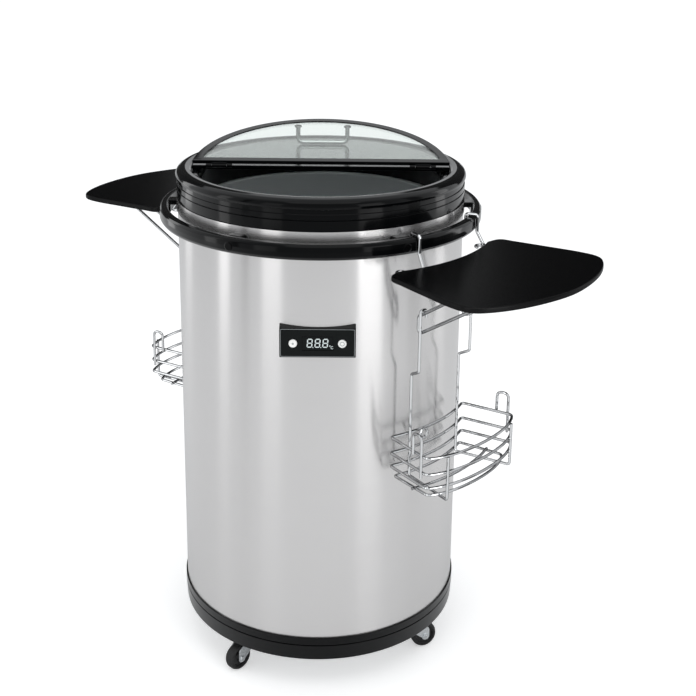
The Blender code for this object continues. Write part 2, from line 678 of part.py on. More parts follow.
def half_lid(prefix, straight):
    """Frame and glass of one half lid, in its closed place, its arc towards -Y."""
    outer = half_outline(LID_RADIUS, straight, LID_STEPS)
    inner = half_outline(LID_RADIUS - LID_FRAME_WIDTH, straight + LID_FRAME_WIDTH, LID_STEPS)
    frame = flat(prefix + "_frame", [outer, inner[::-1]], LID_THICKNESS, GLOSS_BLACK)
    moved(frame, Matrix.Translation((0.0, 0.0, LID_FOOT + LID_THICKNESS / 2)))
    seat = half_outline(LID_RADIUS - LID_FRAME_WIDTH + GLASS_BITE,
                        straight + LID_FRAME_WIDTH - GLASS_BITE, LID_STEPS)
    pane = half_outline(LID_RADIUS - LID_FRAME_WIDTH + GLASS_BITE - SEAT_GAP,
                        straight + LID_FRAME_WIDTH - GLASS_BITE + SEAT_GAP, LID_STEPS)
    rebate = flat("rebate", [seat], LID_THICKNESS, None)
    glass_foot = LID_TOP - GLASS_THICKNESS
    moved(rebate, Matrix.Translation((0.0, 0.0, glass_foot + LID_THICKNESS / 2)))
    as_cutter(rebate)
    boolean(frame, rebate, "DIFFERENCE")
    glass = flat(prefix + "_glass", [pane], GLASS_THICKNESS - SEAT_GAP, GLASS)
    moved(glass, Matrix.Translation((0.0, 0.0, glass_foot + SEAT_GAP
                                     + (GLASS_THICKNESS - SEAT_GAP) / 2)))
    return frame, glass


def build_lid():
    front = HINGE_FORWARD + HINGE_EYE_RADIUS + SEAT_GAP
    frame, glass = half_lid("front_lid", front)
    rear_frame, rear_glass = half_lid("rear_lid", BAR_WIDTH / 2 + SEAT_GAP)
    half_turn = Matrix.Rotation(pi, 4, "Z")
    rear_frame = baked(rear_frame, GLOSS_BLACK)
    for piece in (rear_frame, rear_glass):
        moved(piece, half_turn)

    # The bar lies across the ledge and carries an ear on each side of both hinge eyes.
    bar = block("lid_bar", (2 * LID_RADIUS, BAR_WIDTH, BAR_THICKNESS),
                (0.0, 0.0, LID_FOOT + BAR_THICKNESS / 2), None)
    disc = rod("bar_ends", LID_RADIUS, (0.0, 0.0, LID_FOOT - OVERRUN),
               (0.0, 0.0, LID_FOOT + BAR_THICKNESS + OVERRUN), None, ROUND_STEPS)
    boolean(bar, as_cutter(disc), "INTERSECT")
    bar = baked(bar, GLOSS_BLACK)
    pieces = [bar]
    pin_bores = []
    pins = []
    eyes = [frame]
    ear_step = HINGE_EYE_LENGTH / 2 + SEAT_GAP
    for side, word in ((-1, "left"), (1, "right")):
        middle = side * HINGE_SPREAD
        for end in (-1, 1):
            start = middle + end * ear_step
            stop = start + end * HINGE_EAR_LENGTH
            pieces.append(rod("ear", HINGE_EYE_RADIUS, (start, HINGE_Y, HINGE_Z),
                              (stop, HINGE_Y, HINGE_Z), None, PIN_STEPS))
            web = (HINGE_EAR_LENGTH, HINGE_FORWARD - BAR_WIDTH / 2 + 2 * WELD_BITE,
                   HINGE_EYE_RADIUS)
            pieces.append(block("web", web, ((start + stop) / 2, HINGE_Y + web[1] / 2,
                                             LID_FOOT + BAR_THICKNESS - web[2] / 2 - WELD_BITE / 2),
                                None))
        eyes.append(rod("eye", HINGE_EYE_RADIUS, (middle - HINGE_EYE_LENGTH / 2, HINGE_Y, HINGE_Z),
                        (middle + HINGE_EYE_LENGTH / 2, HINGE_Y, HINGE_Z), None, PIN_STEPS))
        eyes.append(block("eye_web", (HINGE_EYE_LENGTH, HINGE_EYE_RADIUS + 2 * WELD_BITE,
                                      HINGE_EYE_RADIUS),
                          (middle, HINGE_Y - (HINGE_EYE_RADIUS + 2 * WELD_BITE) / 2,
                           LID_TOP - HINGE_EYE_RADIUS / 2 - WELD_BITE / 3), None))
        length = HINGE_EYE_LENGTH / 2 + HINGE_EAR_LENGTH
        pin_bores.append(as_cutter(rod("pin_bore_" + word, HINGE_PIN_RADIUS + SEAT_GAP,
                                       (middle - length - OVERRUN, HINGE_Y, HINGE_Z),
                                       (middle + length + OVERRUN, HINGE_Y, HINGE_Z), None, PIN_STEPS)))
        pins.append(rod("hinge_pin_" + word, HINGE_PIN_RADIUS, (middle - length, HINGE_Y, HINGE_Z),
                        (middle + length, HINGE_Y, HINGE_Z), ZINC, PIN_STEPS))
    bar = fused("lid_bar", pieces, GLOSS_BLACK)
    frame = fused("front_lid_frame", eyes, GLOSS_BLACK)
    for bore in pin_bores:
        boolean(bar, bore, "DIFFERENCE")
        boolean(frame, bore, "DIFFERENCE")

    # The handle is a chromed bow that stands on two feet on the front glass.
    glass_top = LID_TOP + SEAT_GAP
    crest = glass_top + HANDLE_HEIGHT - HANDLE_RADIUS
    half = HANDLE_SPAN / 2
    bow = rounded([Vector((-half, -HANDLE_FROM_AXIS, glass_top)),
                   Vector((-half, -HANDLE_FROM_AXIS, crest)),
                   Vector((half, -HANDLE_FROM_AXIS, crest)),
                   Vector((half, -HANDLE_FROM_AXIS, glass_top))], HANDLE_CORNER, steps=3)
    parts = [wire("bow", bow, HANDLE_RADIUS, None, resolution=2)]
    for side in (-1, 1):
        parts.append(rod("foot", HANDLE_FOOT_RADIUS, (side * half, -HANDLE_FROM_AXIS, glass_top),
                         (side * half, -HANDLE_FROM_AXIS, glass_top + HANDLE_FOOT_HEIGHT), None, 16))
    handle = fused("lid_handle", parts, CHROME)

    # Folded back, the bow's crest lies on the rear glass: that sets how far the front half tips up.
    reach = HANDLE_FROM_AXIS - HINGE_FORWARD
    rise = crest - HINGE_Z
    drop = LID_TOP + SEAT_GAP + HANDLE_RADIUS - HINGE_Z
    tip = asin(drop / hypot(reach, rise)) + atan2(rise, reach)
    hinge = bpy.data.objects.new("lid_hinge", None)
    PARTS.objects.link(hinge)
    hinge.location = (0.0, HINGE_Y, HINGE_Z)
    for piece in (frame, glass, handle):
        moved(piece, Matrix.Translation((0.0, -HINGE_Y, -HINGE_Z)))
        piece.parent = hinge
    hinge.rotation_euler = (-(pi - tip), 0.0, 0.0)
    return bar


# ---------------------------------------------------------------- display
def build_display():
    face = -(BARREL_RADIUS + DISPLAY_PROUD)
    housing = block("display_housing", (DISPLAY_WIDTH, DISPLAY_DEPTH, DISPLAY_HEIGHT),
                    (0.0, face + DISPLAY_DEPTH / 2, DISPLAY_MIDDLE), GLOSS_BLACK)
    edge = housing.modifiers.new("edge", "BEVEL")
    edge.width = DISPLAY_ROUND
    edge.segments = 1
    edge.limit_method = "ANGLE"
    housing = baked(housing, GLOSS_BLACK)
    barrel = turned("barrel_face", [
        (0.0, DISPLAY_MIDDLE + DISPLAY_HEIGHT),
        (BARREL_RADIUS + SEAT_GAP, DISPLAY_MIDDLE + DISPLAY_HEIGHT),
        (BARREL_RADIUS + SEAT_GAP, DISPLAY_MIDDLE - DISPLAY_HEIGHT),
        (0.0, DISPLAY_MIDDLE - DISPLAY_HEIGHT),
    ], None)
    boolean(housing, as_cutter(barrel), "DIFFERENCE")
    level = DISPLAY_MIDDLE - WINDOW_DROP
    sunk = WINDOW_THICKNESS + SEAT_GAP
    recess = block("window_recess", (WINDOW_WIDTH, 2 * sunk, WINDOW_HEIGHT), (0.0, face, level), None)
    boolean(housing, as_cutter(recess), "DIFFERENCE")
    block("display_window", (WINDOW_WIDTH - 2 * SEAT_GAP, WINDOW_THICKNESS,
                             WINDOW_HEIGHT - 2 * SEAT_GAP),
          (0.0, face + WINDOW_THICKNESS / 2, level), WINDOW)
    for side, word in ((-1, "left"), (1, "right")):
        x = side * BUTTON_SPREAD
        hole = rod("button_hole_" + word, BUTTON_RADIUS + SEAT_GAP, (x, face - OVERRUN, level),
                   (x, face + DISPLAY_DEPTH, level), None)
        boolean(housing, as_cutter(hole), "DIFFERENCE")
        button = rod("button_" + word, BUTTON_RADIUS, (0.0, -BUTTON_PROUD, 0.0),
                     (0.0, BUTTON_LENGTH - BUTTON_PROUD, 0.0), WHITE)
        soften = button.modifiers.new("edge", "BEVEL")
        soften.width = BUTTON_PROUD / 3
        soften.segments = 1
        soften.limit_method = "ANGLE"
        button.location = (x, face, level)
    return housing


# ---------------------------------------------------------------- trays and brackets
def tray_outline():
    """One half: the inner arc, then shares of the reach and of the half width; then mirrored."""
    handle = TRAY_INNER * tan(TRAY_INNER_TURN / 8) * 4 / 3
    turns = [TRAY_INNER_TURN * i / 2 for i in range(3)]
    arc = [(TRAY_INNER * cos(turn), TRAY_INNER * sin(turn), -handle * sin(turn),
            handle * cos(turn)) for turn in turns]
    half_shares = ((-0.075, 0.80), (0.060, 0.85), (0.30, 0.92), (0.54, 0.985), (0.70, 0.985),
                   (0.80, 0.88), (0.90, 0.64), (0.97, 0.33))
    half = arc + [(TRAY_INNER + out * TRAY_REACH, across * TRAY_HALF_WIDTH)
                  for out, across in half_shares]
    other = [(x, -y, *(-along for along in run[:1]), *run[1:]) for x, y, *run in half[:0:-1]]
    return half + [(TRAY_INNER + TRAY_REACH, 0.0)] + other


def hook_points(turn):
    """A wire that climbs from the tray's inner edge and drops over the rail."""
    inside = RAIL_INNER * FACET_SHRINK_SHARE - SEAT_GAP - BRACKET_WIRE
    outside = RAIL_RADIUS + SEAT_GAP + BRACKET_WIRE
    crest = RAIL_TOP + SEAT_GAP + BRACKET_WIRE
    rim = RIM_WIRE_RADIUS
    level = RIM_WIRE_LEVEL
    return rounded([
        polar(inside, turn, crest - HOOK_TIP),
        polar(inside, turn, crest),
        polar(outside, turn, crest),
        polar(outside, turn, RAIL_FOOT),
        polar(rim - WELD_BITE, turn, level),
    ], HOOK_ROUND)


def rim_points():
    """The wire along the tray's inner edge, curled back at both ends."""
    rim = RIM_WIRE_RADIUS
    level = RIM_WIRE_LEVEL
    steps = 8
    points = [polar(rim, RIM_WIRE_TURN * (2 * i / steps - 1), level) for i in range(steps + 1)]
    curl = []
    end = points[-1]
    inward = -Vector((cos(RIM_WIRE_TURN), sin(RIM_WIRE_TURN), 0.0))
    along = Vector((-sin(RIM_WIRE_TURN), cos(RIM_WIRE_TURN), 0.0))
    for i in range(1, 6):
        turn = 2 * pi * i / 7
        curl.append(end + inward * CURL_RADIUS * (1 - cos(turn)) + along * CURL_RADIUS * sin(turn))
    mirrored = [Vector((p.x, -p.y, p.z)) for p in reversed(curl)]
    return mirrored + points + curl


def strut_points(turn):
    """A wire under the tray that runs back down to a nose near the barrel and up again."""
    arm = STRUT_ARM_LEVEL
    rim = RIM_WIRE_RADIUS
    nose = arm - STRUT_NOSE_DROP
    slope = (STRUT_NOSE_DROP) / (rim + STRUT_UPPER_REACH - STRUT_NOSE_RADIUS)
    far = rim + STRUT_ARM_REACH
    low = nose - STRUT_NOSE_HEIGHT
    return rounded([
        polar(rim - BRACKET_WIRE, turn, arm),
        polar(far, turn, arm),
        polar(STRUT_NOSE_RADIUS, turn, low),
        polar(STRUT_NOSE_RADIUS, turn, nose),
        polar(rim + STRUT_UPPER_REACH, turn, nose
              + slope * (rim + STRUT_UPPER_REACH - STRUT_NOSE_RADIUS) - WELD_BITE),
    ], STRUT_ROUND)


def build_tray_meshes():
    board = flat("tray_board", [tray_outline()], TRAY_THICKNESS, SATIN_BLACK, TRAY_ROUND, True)
    moved(board, Matrix.Translation((0.0, 0.0, TRAY_FOOT + TRAY_THICKNESS / 2)))
    wires = [wire("rim", rim_points(), BRACKET_WIRE, None)]
    for turn in HOOK_TURNS:
        wires.append(wire("hook", hook_points(turn), BRACKET_WIRE, None))
    for side in (-1, 1):
        wires.append(wire("strut", strut_points(side * STRUT_TURN), BRACKET_WIRE, None))
    bracket = fused("tray_bracket", wires, CHROME)
    return board, bracket


# ---------------------------------------------------------------- baskets
def front_radius(share, inset=0.0):
    """How far out the basket's front wire runs, at a share of its half turn."""
    outer = BASKET_INNER + BASKET_DEPTH - inset
    return outer - BASKET_CORNER * share ** 4


def ring_points(level, inset):
    """One wire round the basket: it follows the barrel inside and bows out in front."""
    trim = inset / (BASKET_INNER + BASKET_DEPTH)
    back = HANGER_TURN / BASKET_INNER_HALF_TURN
    front = HANGER_TURN / BASKET_OUTER_HALF_TURN
    points = [polar(BASKET_INNER, share * (BASKET_INNER_HALF_TURN - trim), level)
              for share in (-1.0, -back, 0.0, back, 1.0)]
    points += [polar(front_radius(share, inset), share * (BASKET_OUTER_HALF_TURN - trim), level)
               for share in (1.0, front, front / 3, -front / 3, -front, -1.0)]
    made = []
    for i, point in enumerate(points):
        if i in (0, 4, 5, len(points) - 1):
            made.extend(bend(points[i - 1], point, points[(i + 1) % len(points)], BASKET_CORNER, 1))
        else:
            made.append(point)
    return made


def strut_height(radius):
    """Height of the strut's upper leg at a radius."""
    arm = STRUT_ARM_LEVEL
    rim = RIM_WIRE_RADIUS
    run = rim + STRUT_UPPER_REACH - STRUT_NOSE_RADIUS
    return arm - STRUT_NOSE_DROP + (STRUT_NOSE_DROP - WELD_BITE) * (radius - STRUT_NOSE_RADIUS) / run


def build_basket_mesh():
    run = RIM_WIRE_RADIUS + STRUT_UPPER_REACH - STRUT_NOSE_RADIUS
    lean = hypot(STRUT_NOSE_DROP, run) / run
    reach = BRACKET_WIRE + SEAT_GAP + BASKET_WIRE
    crest = strut_height(BASKET_HANGER_RADIUS) + reach * lean
    step = strut_height(BASKET_HANGER_RADIUS) - BASKET_STEP_UNDER_STRUT
    top = step - BASKET_TOP_UNDER_STEP
    foot = top - BASKET_HEIGHT
    under = foot - BASKET_WIRE * 2 + WELD_BITE
    level_shares = (0.0, 0.39, 0.72, 1.0)
    inner = BASKET_HANGER_RADIUS - BASKET_STEP_IN
    front = front_radius(HANGER_TURN / BASKET_OUTER_HALF_TURN) + 2 * BASKET_WIRE - WELD_BITE
    up = Vector((0.0, 0.0, 1.0))
    wires = []
    for share in level_shares:
        inset = BASKET_INSET if share == 1.0 else 0.0
        wires.append(wire("ring", ring_points(top - share * BASKET_HEIGHT, inset), BASKET_WIRE,
                          None, cyclic=True))

    # Each hanger hooks over a strut, steps in towards the barrel, passes under the floor and
    # climbs the front to the top wire.
    for side in (-1, 1):
        tip = 2 * STRUT_TURN - HANGER_TURN
        points = [
            polar(BASKET_HANGER_RADIUS, side * tip, crest - HOOK_TIP),
            polar(BASKET_HANGER_RADIUS, side * tip, crest),
            polar(BASKET_HANGER_RADIUS, side * HANGER_TURN, crest),
            polar(BASKET_HANGER_RADIUS, side * HANGER_TURN, step),
            polar(inner, side * HANGER_TURN, step - BASKET_CORNER),
            polar(inner, side * HANGER_TURN, under),
            polar(front, side * HANGER_TURN, under),
            polar(front, side * HANGER_TURN, top),
        ]
        wires.append(wire("hanger", rounded(points, STRUT_ROUND), BASKET_WIRE, None))

    # One wire lies along the floor.
    along = [polar(BASKET_INNER + BASKET_DEPTH / 2, turn, foot)
             for turn in (-BASKET_OUTER_HALF_TURN, -HANGER_TURN, 0.0, HANGER_TURN,
                          BASKET_OUTER_HALF_TURN)]
    wires.append(wire("floor", along, BASKET_WIRE, None))

    # An upright loop on each end wire keeps a bottle from tipping out.
    for side in (-1, 1):
        near = polar(front_radius(1.0), side * BASKET_OUTER_HALF_TURN, 0.0)
        far = polar(BASKET_INNER, side * BASKET_INNER_HALF_TURN, 0.0)
        along = (far - near).normalized()
        aside = Vector((-along.y, along.x, 0.0)) * side * (WELD_BITE - 2 * BASKET_WIRE)
        a = near + along * BASKET_CORNER + aside
        b = a + along * BASKET_LOOP_WIDTH
        points = [
            a + up * (top - BASKET_HEIGHT / 2),
            a + up * (top + BASKET_LOOP_RISE),
            b + up * (top + BASKET_LOOP_RISE),
            b + up * (top - BASKET_WIRE),
        ]
        wires.append(wire("loop", rounded(points, BASKET_CORNER, steps=2), BASKET_WIRE, None))

    # A small eye hangs from the inner top wire beside one hanger.
    turn = -HANGER_TURN / 2
    centre = polar(BASKET_INNER * cos(turn) + 2 * BASKET_WIRE - WELD_BITE, turn,
                   top - BASKET_EYE_RADIUS)
    aside = Vector((-sin(turn), cos(turn), 0.0))
    eye = [centre + aside * BASKET_EYE_RADIUS * cos(pi * i / 4) + up * BASKET_EYE_RADIUS
           * sin(pi * i / 4) for i in range(8)]
    wires.append(wire("eye", eye, BASKET_WIRE, None, cyclic=True))
    return fused("basket", wires, CHROME)


def build_sides():
    board, bracket = build_tray_meshes()
    basket = build_basket_mesh()
    board.name, bracket.name, basket.name = "tray_right", "tray_bracket_right", "basket_right"
    left = [place("tray_left", board.data, None), place("tray_bracket_left", bracket.data, None),
            place("basket_left", basket.data, None)]
    for piece in (board, bracket, basket):
        piece.rotation_euler = (0.0, 0.0, TRAY_TURN)
    for piece in left:
        piece.rotation_euler = (0.0, 0.0, TRAY_TURN + pi)


# ---------------------------------------------------------------- castors
def build_castors():
    # Fork and axle, with the kingpin on the origin's upright axis and the trail along +X.
    cheek_shares = ((-0.50, 1.0), (0.42, 1.0), (0.78, 0.86), (1.22, 0.60))
    rise = FORK_CROWN_RISE - WHEEL_RADIUS
    outline = [(x * CASTOR_TRAIL, WHEEL_RADIUS + z * rise) for x, z in cheek_shares]
    for i in range(5):
        turn = radians(20) - radians(190) * i / 4
        outline.append((CASTOR_TRAIL + FORK_ROUND * cos(turn), WHEEL_RADIUS + FORK_ROUND * sin(turn)))
    outline.append((-0.52 * CASTOR_TRAIL, WHEEL_RADIUS + 0.72 * rise))
    spread = WHEEL_WIDTH / 2 + FORK_SIDE_GAP + FORK_WALL / 2
    pieces = []
    for side in (-1, 1):
        cheek = flat("cheek", [outline], FORK_WALL, None)
        upright = Matrix.Rotation(pi / 2, 4, "X")
        moved(cheek, Matrix.Translation((0.0, side * spread, 0.0)) @ upright)
        pieces.append(cheek)
    crown = rod("crown", FORK_CROWN_RADIUS, (0.0, 0.0, FORK_CROWN_RISE - FORK_WALL / 2),
                (0.0, 0.0, FORK_CROWN_RISE + FORK_WALL), None)
    kingpin = rod("kingpin", KINGPIN_RADIUS, (0.0, 0.0, FORK_CROWN_RISE),
                  (0.0, 0.0, FORK_CROWN_RISE + FORK_WALL + KINGPIN_LENGTH), None, PIN_STEPS)
    axle = rod("axle", AXLE_RADIUS, (CASTOR_TRAIL, -spread - FORK_WALL, WHEEL_RADIUS),
               (CASTOR_TRAIL, spread + FORK_WALL, WHEEL_RADIUS), None, PIN_STEPS)
    fork = fused("castor_fork", [crown, kingpin, axle] + pieces, ZINC)

    # Wheel on its own axle line.
    half = WHEEL_WIDTH / 2
    bore = AXLE_RADIUS + SEAT_GAP
    shares = ((0.0, 1.0), (0.42, 0.92), (0.82, 0.86), (1.0, 0.55))
    down = [(bore + out * (WHEEL_RADIUS - bore), up * half) for out, up in shares]
    profile = down + [(radius, -height) for radius, height in reversed(down)]
    wheel = turned("castor_wheel", profile, RUBBER, SMALL_STEPS)
    moved(wheel, Matrix.Rotation(pi / 2, 4, "X"))

    # Cap that holds the kingpin under the base plate.
    foot = FORK_CROWN_RISE + FORK_WALL + SEAT_GAP
    top = BASE_FOOT + BASE_FLOOR
    cap = turned("castor_cap", [
        (KINGPIN_RADIUS + SEAT_GAP, top),
        (CASTOR_CAP_RADIUS, top),
        (FORK_CROWN_RADIUS, foot),
        (KINGPIN_RADIUS + SEAT_GAP, foot),
    ], ZINC, SMALL_STEPS)

    names = ("front_right", "rear_right", "rear_left", "front_left")
    for i, (word, trail) in enumerate(zip(names, CASTOR_TRAILS)):
        turn = -pi / 4 + CASTOR_TURN + 2 * pi * i / CASTOR_COUNT
        spot = polar(CASTOR_CIRCLE, turn, 0.0)
        swivel = bpy.data.objects.new("swivel_" + word, None)
        PARTS.objects.link(swivel)
        swivel.location = spot
        swivel.rotation_euler = (0.0, 0.0, trail)
        held_cap = place("castor_cap_" + word, cap.data, None)
        held_cap.location = spot
        held_fork = place("castor_fork_" + word, fork.data, None)
        held_fork.parent = swivel
        held_wheel = place("castor_wheel_" + word, wheel.data, None)
        held_wheel.parent = swivel
        held_wheel.location = (CASTOR_TRAIL, 0.0, WHEEL_RADIUS)
    for piece in (cap, fork, wheel):
        bpy.data.objects.remove(piece, do_unlink=True)


# ---------------------------------------------------------------- behind
def ring_slice(name, inner, outer, margin):
    """The part of a ring that lies over the vent."""
    low = VENT_MIDDLE - VENT_HEIGHT / 2 - margin
    high = VENT_MIDDLE + VENT_HEIGHT / 2 + margin
    ring = turned(name, [(inner, high), (outer, high), (outer, low), (inner, low)], None)
    window = vent_box(name + "_window", margin, inner / 2, outer + OVERRUN)
    boolean(ring, as_cutter(window), "INTERSECT")
    return baked(ring, None)


def build_behind():
    seat = BARREL_RADIUS + SEAT_GAP
    rim = ring_slice("vent_rim", seat, BARREL_RADIUS + VENT_PROUD, VENT_RIM)
    body = ring_slice("vent_body", BARREL_RADIUS - VENT_BODY, BARREL_RADIUS + VENT_PROUD / 2,
                      -SEAT_GAP)
    grille = fused("vent_grille", [rim, body], SATIN_BLACK)
    pitch = (VENT_HEIGHT - 2 * VENT_SLOT_MARGIN) / VENT_SLOTS
    for i in range(VENT_SLOTS):
        level = VENT_MIDDLE + (i - (VENT_SLOTS - 1) / 2) * pitch
        slot = block("vent_slot_%d" % i, (VENT_WIDTH - 2 * VENT_SLOT_MARGIN, BARREL_RADIUS / 2,
                                          VENT_SLOT_HEIGHT), (0.0, BARREL_RADIUS, level), None)
        boolean(grille, as_cutter(slot), "DIFFERENCE")

    # Drain spout through the barrel, the foam and the tub wall, and its push-on cap.
    start = LINER_RADIUS - LINER_DRAFT - LINER_WALL
    level = LINER_FLOOR + DRAIN_OVER_FLOOR
    face = BARREL_RADIUS + SEAT_GAP
    shank = face - start
    spout = turned("drain_spout", [
        (DRAIN_BORE, face + DRAIN_FLANGE + DRAIN_SPOUT),
        (DRAIN_RADIUS - SEAT_GAP, face + DRAIN_FLANGE + DRAIN_SPOUT),
        (DRAIN_RADIUS, face + DRAIN_FLANGE),
        (DRAIN_FLANGE_RADIUS, face + DRAIN_FLANGE),
        (DRAIN_FLANGE_RADIUS, face),
        (DRAIN_RADIUS, face),
        (DRAIN_RADIUS, face - shank),
        (DRAIN_BORE, face - shank),
    ], SATIN_BLACK, SMALL_STEPS)
    outward = Matrix.Rotation(DRAIN_TURN, 4, "Z") @ Matrix.Rotation(pi / 2, 4, "Y")
    moved(spout, Matrix.Translation((0.0, 0.0, level)) @ outward)
    cap_foot = face + DRAIN_FLANGE + SEAT_GAP
    cap_top = cap_foot + DRAIN_SPOUT + DRAIN_CAP_LENGTH / 4
    cap = turned("drain_cap", [
        (0.0, cap_top),
        (DRAIN_CAP_RADIUS - SEAT_GAP, cap_top),
        (DRAIN_CAP_RADIUS, cap_top - DRAIN_CAP_LENGTH / 8),
        (DRAIN_CAP_RADIUS, cap_foot),
        (DRAIN_RADIUS + SEAT_GAP, cap_foot),
        (DRAIN_RADIUS + SEAT_GAP, cap_foot + DRAIN_SPOUT),
        (0.0, cap_foot + DRAIN_SPOUT),
    ], RUBBER, SMALL_STEPS)
    moved(cap, Matrix.Translation((0.0, 0.0, -face)))
    cap.matrix_world = (Matrix.Translation(polar(face, DRAIN_TURN, level)) @ outward)

    # Cord gland.
    gland = turned("cord_gland", [
        (GLAND_BORE, face + GLAND_FLANGE + GLAND_NOSE),
        (GLAND_RADIUS, face + GLAND_FLANGE + GLAND_NOSE),
        (GLAND_RADIUS, face + GLAND_FLANGE),
        (GLAND_FLANGE_RADIUS, face + GLAND_FLANGE),
        (GLAND_FLANGE_RADIUS, face),
        (GLAND_RADIUS, face),
        (GLAND_RADIUS, face - GLAND_NOSE),
        (GLAND_BORE, face - GLAND_NOSE),
    ], RUBBER, 16)
    moved(gland, Matrix.Translation((0.0, 0.0, GLAND_HEIGHT))
          @ Matrix.Rotation(GLAND_TURN, 4, "Z") @ Matrix.Rotation(pi / 2, 4, "Y"))


build_base()
_, drain_hole = build_barrel()
build_band_and_rail()
build_collar()
build_tub(drain_hole)
build_compressor()
build_lid()
build_display()
build_sides()
build_castors()
build_behind()
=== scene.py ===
from math import acos, asin, atan2, cos, hypot, pi, radians, sin, tan

import bmesh
import bpy
from mathutils import Matrix, Vector


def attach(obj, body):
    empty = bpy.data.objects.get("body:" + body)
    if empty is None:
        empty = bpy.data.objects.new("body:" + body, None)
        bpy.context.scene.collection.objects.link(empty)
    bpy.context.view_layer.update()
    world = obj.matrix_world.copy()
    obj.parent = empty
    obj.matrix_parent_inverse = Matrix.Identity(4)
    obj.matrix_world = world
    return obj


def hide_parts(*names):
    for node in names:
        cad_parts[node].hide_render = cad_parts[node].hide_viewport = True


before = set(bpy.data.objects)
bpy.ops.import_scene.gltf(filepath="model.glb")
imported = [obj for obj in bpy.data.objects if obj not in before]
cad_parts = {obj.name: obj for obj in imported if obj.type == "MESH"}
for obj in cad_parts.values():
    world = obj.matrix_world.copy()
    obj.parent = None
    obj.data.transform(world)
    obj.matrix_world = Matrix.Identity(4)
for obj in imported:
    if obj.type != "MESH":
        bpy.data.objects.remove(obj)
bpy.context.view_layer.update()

# ------------------------------------------------------------------ camera, lights and floor
# A bright white studio: the camera stands in front and looks down on the barrel, tall
# softboxes stand either side of it, and the floor runs white into the background.
scene = bpy.context.scene
scene.view_settings.view_transform = "Standard"

eye = bpy.data.objects.new("camera", bpy.data.cameras.new("camera"))
scene.collection.objects.link(eye)
scene.camera = eye
eye.data.sensor_width = 36.0
eye.data.lens = 61.827
eye.data.shift_y = -0.19
eye.location = (0.0309, -1.7329, 1.1421)
eye.rotation_euler = (Matrix.Rotation(radians(-0.323), 3, "Z")
                      @ Matrix.Rotation(radians(90.0 - 15.275), 3, "X")
                      @ Matrix.Rotation(radians(0.608), 3, "Z")).to_euler()


def linear(code):
    """An sRGB hex colour as the linear values that a shader takes."""
    parts = [int(code[i:i + 2], 16) / 255 for i in (1, 3, 5)]
    return (*[c / 12.92 if c <= 0.04045 else ((c + 0.055) / 1.055) ** 2.4 for c in parts], 1.0)


def fed(node, inputs):
    """Gives a node its inputs: each a value, a socket, or a node, whose first output it takes."""
    for key, value in inputs.items():
        if isinstance(value, bpy.types.Node):
            value = value.outputs[0]
        if isinstance(value, bpy.types.NodeSocket):
            node.id_data.links.new(value, node.inputs[key])
        else:
            node.inputs[key].default_value = value
    return node


def add(tree, kind, inputs=None, **settings):
    """Adds one node with its settings and inputs."""
    node = tree.nodes.new(kind)
    for key, value in settings.items():
        setattr(node, key, value)
    return fed(node, inputs or {})


def watched(tree):
    """1 where the camera looks, straight or through the glass, and 0 elsewhere."""
    path = add(tree, "ShaderNodeLightPath")
    return add(tree, "ShaderNodeMath", {0: path.outputs["Is Camera Ray"],
                                        1: path.outputs["Is Transmission Ray"]},
               operation="MAXIMUM")


WHITE = linear("#FFFFFF")
world = bpy.data.worlds.new("white_studio")
scene.world = world
world.use_nodes = True
tree = world.node_tree
tree.nodes.clear()
room = add(tree, "ShaderNodeBackground", {"Color": linear("#F4F6F8"), "Strength": 0.80})
white = add(tree, "ShaderNodeBackground", {"Color": WHITE, "Strength": 1.0})
both = add(tree, "ShaderNodeMixShader", {0: watched(tree), 1: room, 2: white})
add(tree, "ShaderNodeOutputWorld", {"Surface": both})

# Bearing from the camera's side (degrees to its right), distance, height, width, tall, strength.
for i, (bearing, far, high, wide, tall, glow) in enumerate((
        (38.0, 2.3, 1.00, 0.75, 1.8, 2.00), (-35.0, 2.3, 1.00, 0.60, 1.8, 1.02),
        (-76.0, 2.3, 1.00, 0.40, 2.0, 1.1), (-122.0, 2.4, 1.00, 0.5, 1.8, 1.0),
        (105.0, 2.4, 1.00, 0.5, 1.8, 1.0), (4.0, 1.3, 2.9, 1.9, 1.4, 1.3))):
    turn = radians(bearing)
    lamp = bpy.data.lights.new("softbox_%d" % i, "AREA")
    lamp.shape = "RECTANGLE"
    lamp.size = wide
    lamp.size_y = tall
    lamp.energy = glow * pi * wide * tall
    holder = bpy.data.objects.new("softbox_%d" % i, lamp)
    scene.collection.objects.link(holder)
    holder.location = (far * sin(turn), -far * cos(turn), high)
    aim = Vector((0.0, 0.0, 0.45 if high > 2 else high)) - holder.location
    holder.rotation_euler = aim.to_track_quat("-Z", "Y").to_euler()


def plane(name, width, depth):
    """A flat rectangle about its own middle."""
    mesh = bpy.data.meshes.new(name)
    w, d = width / 2, depth / 2
    mesh.from_pydata([(-w, -d, 0.0), (w, -d, 0.0), (w, d, 0.0), (-w, d, 0.0)], [], [(0, 1, 2, 3)])
    made = bpy.data.objects.new(name, mesh)
    scene.collection.objects.link(made)
    return made


def bare(name):
    """A material with an empty node tree."""
    made = bpy.data.materials.new(name)
    made.use_nodes = True
    made.node_tree.nodes.clear()
    return made, made.node_tree


floor = plane("floor", 30.0, 30.0)
paper, tree = bare("white_paper_sweep")
# White paper; a little of its own light for the camera, through the glass too, takes the lit
# floor to the background's white and leaves the shadow under the castors.
amount = add(tree, "ShaderNodeMath", {0: watched(tree), 1: 0.42}, operation="MULTIPLY")
lift = add(tree, "ShaderNodeEmission", {"Color": WHITE, "Strength": amount})
sheet = add(tree, "ShaderNodeBsdfDiffuse", {"Color": linear("#F1F1F1")})
laid = add(tree, "ShaderNodeAddShader", {0: sheet, 1: lift})
add(tree, "ShaderNodeOutputMaterial", {"Surface": laid})
floor.data.materials.append(paper)

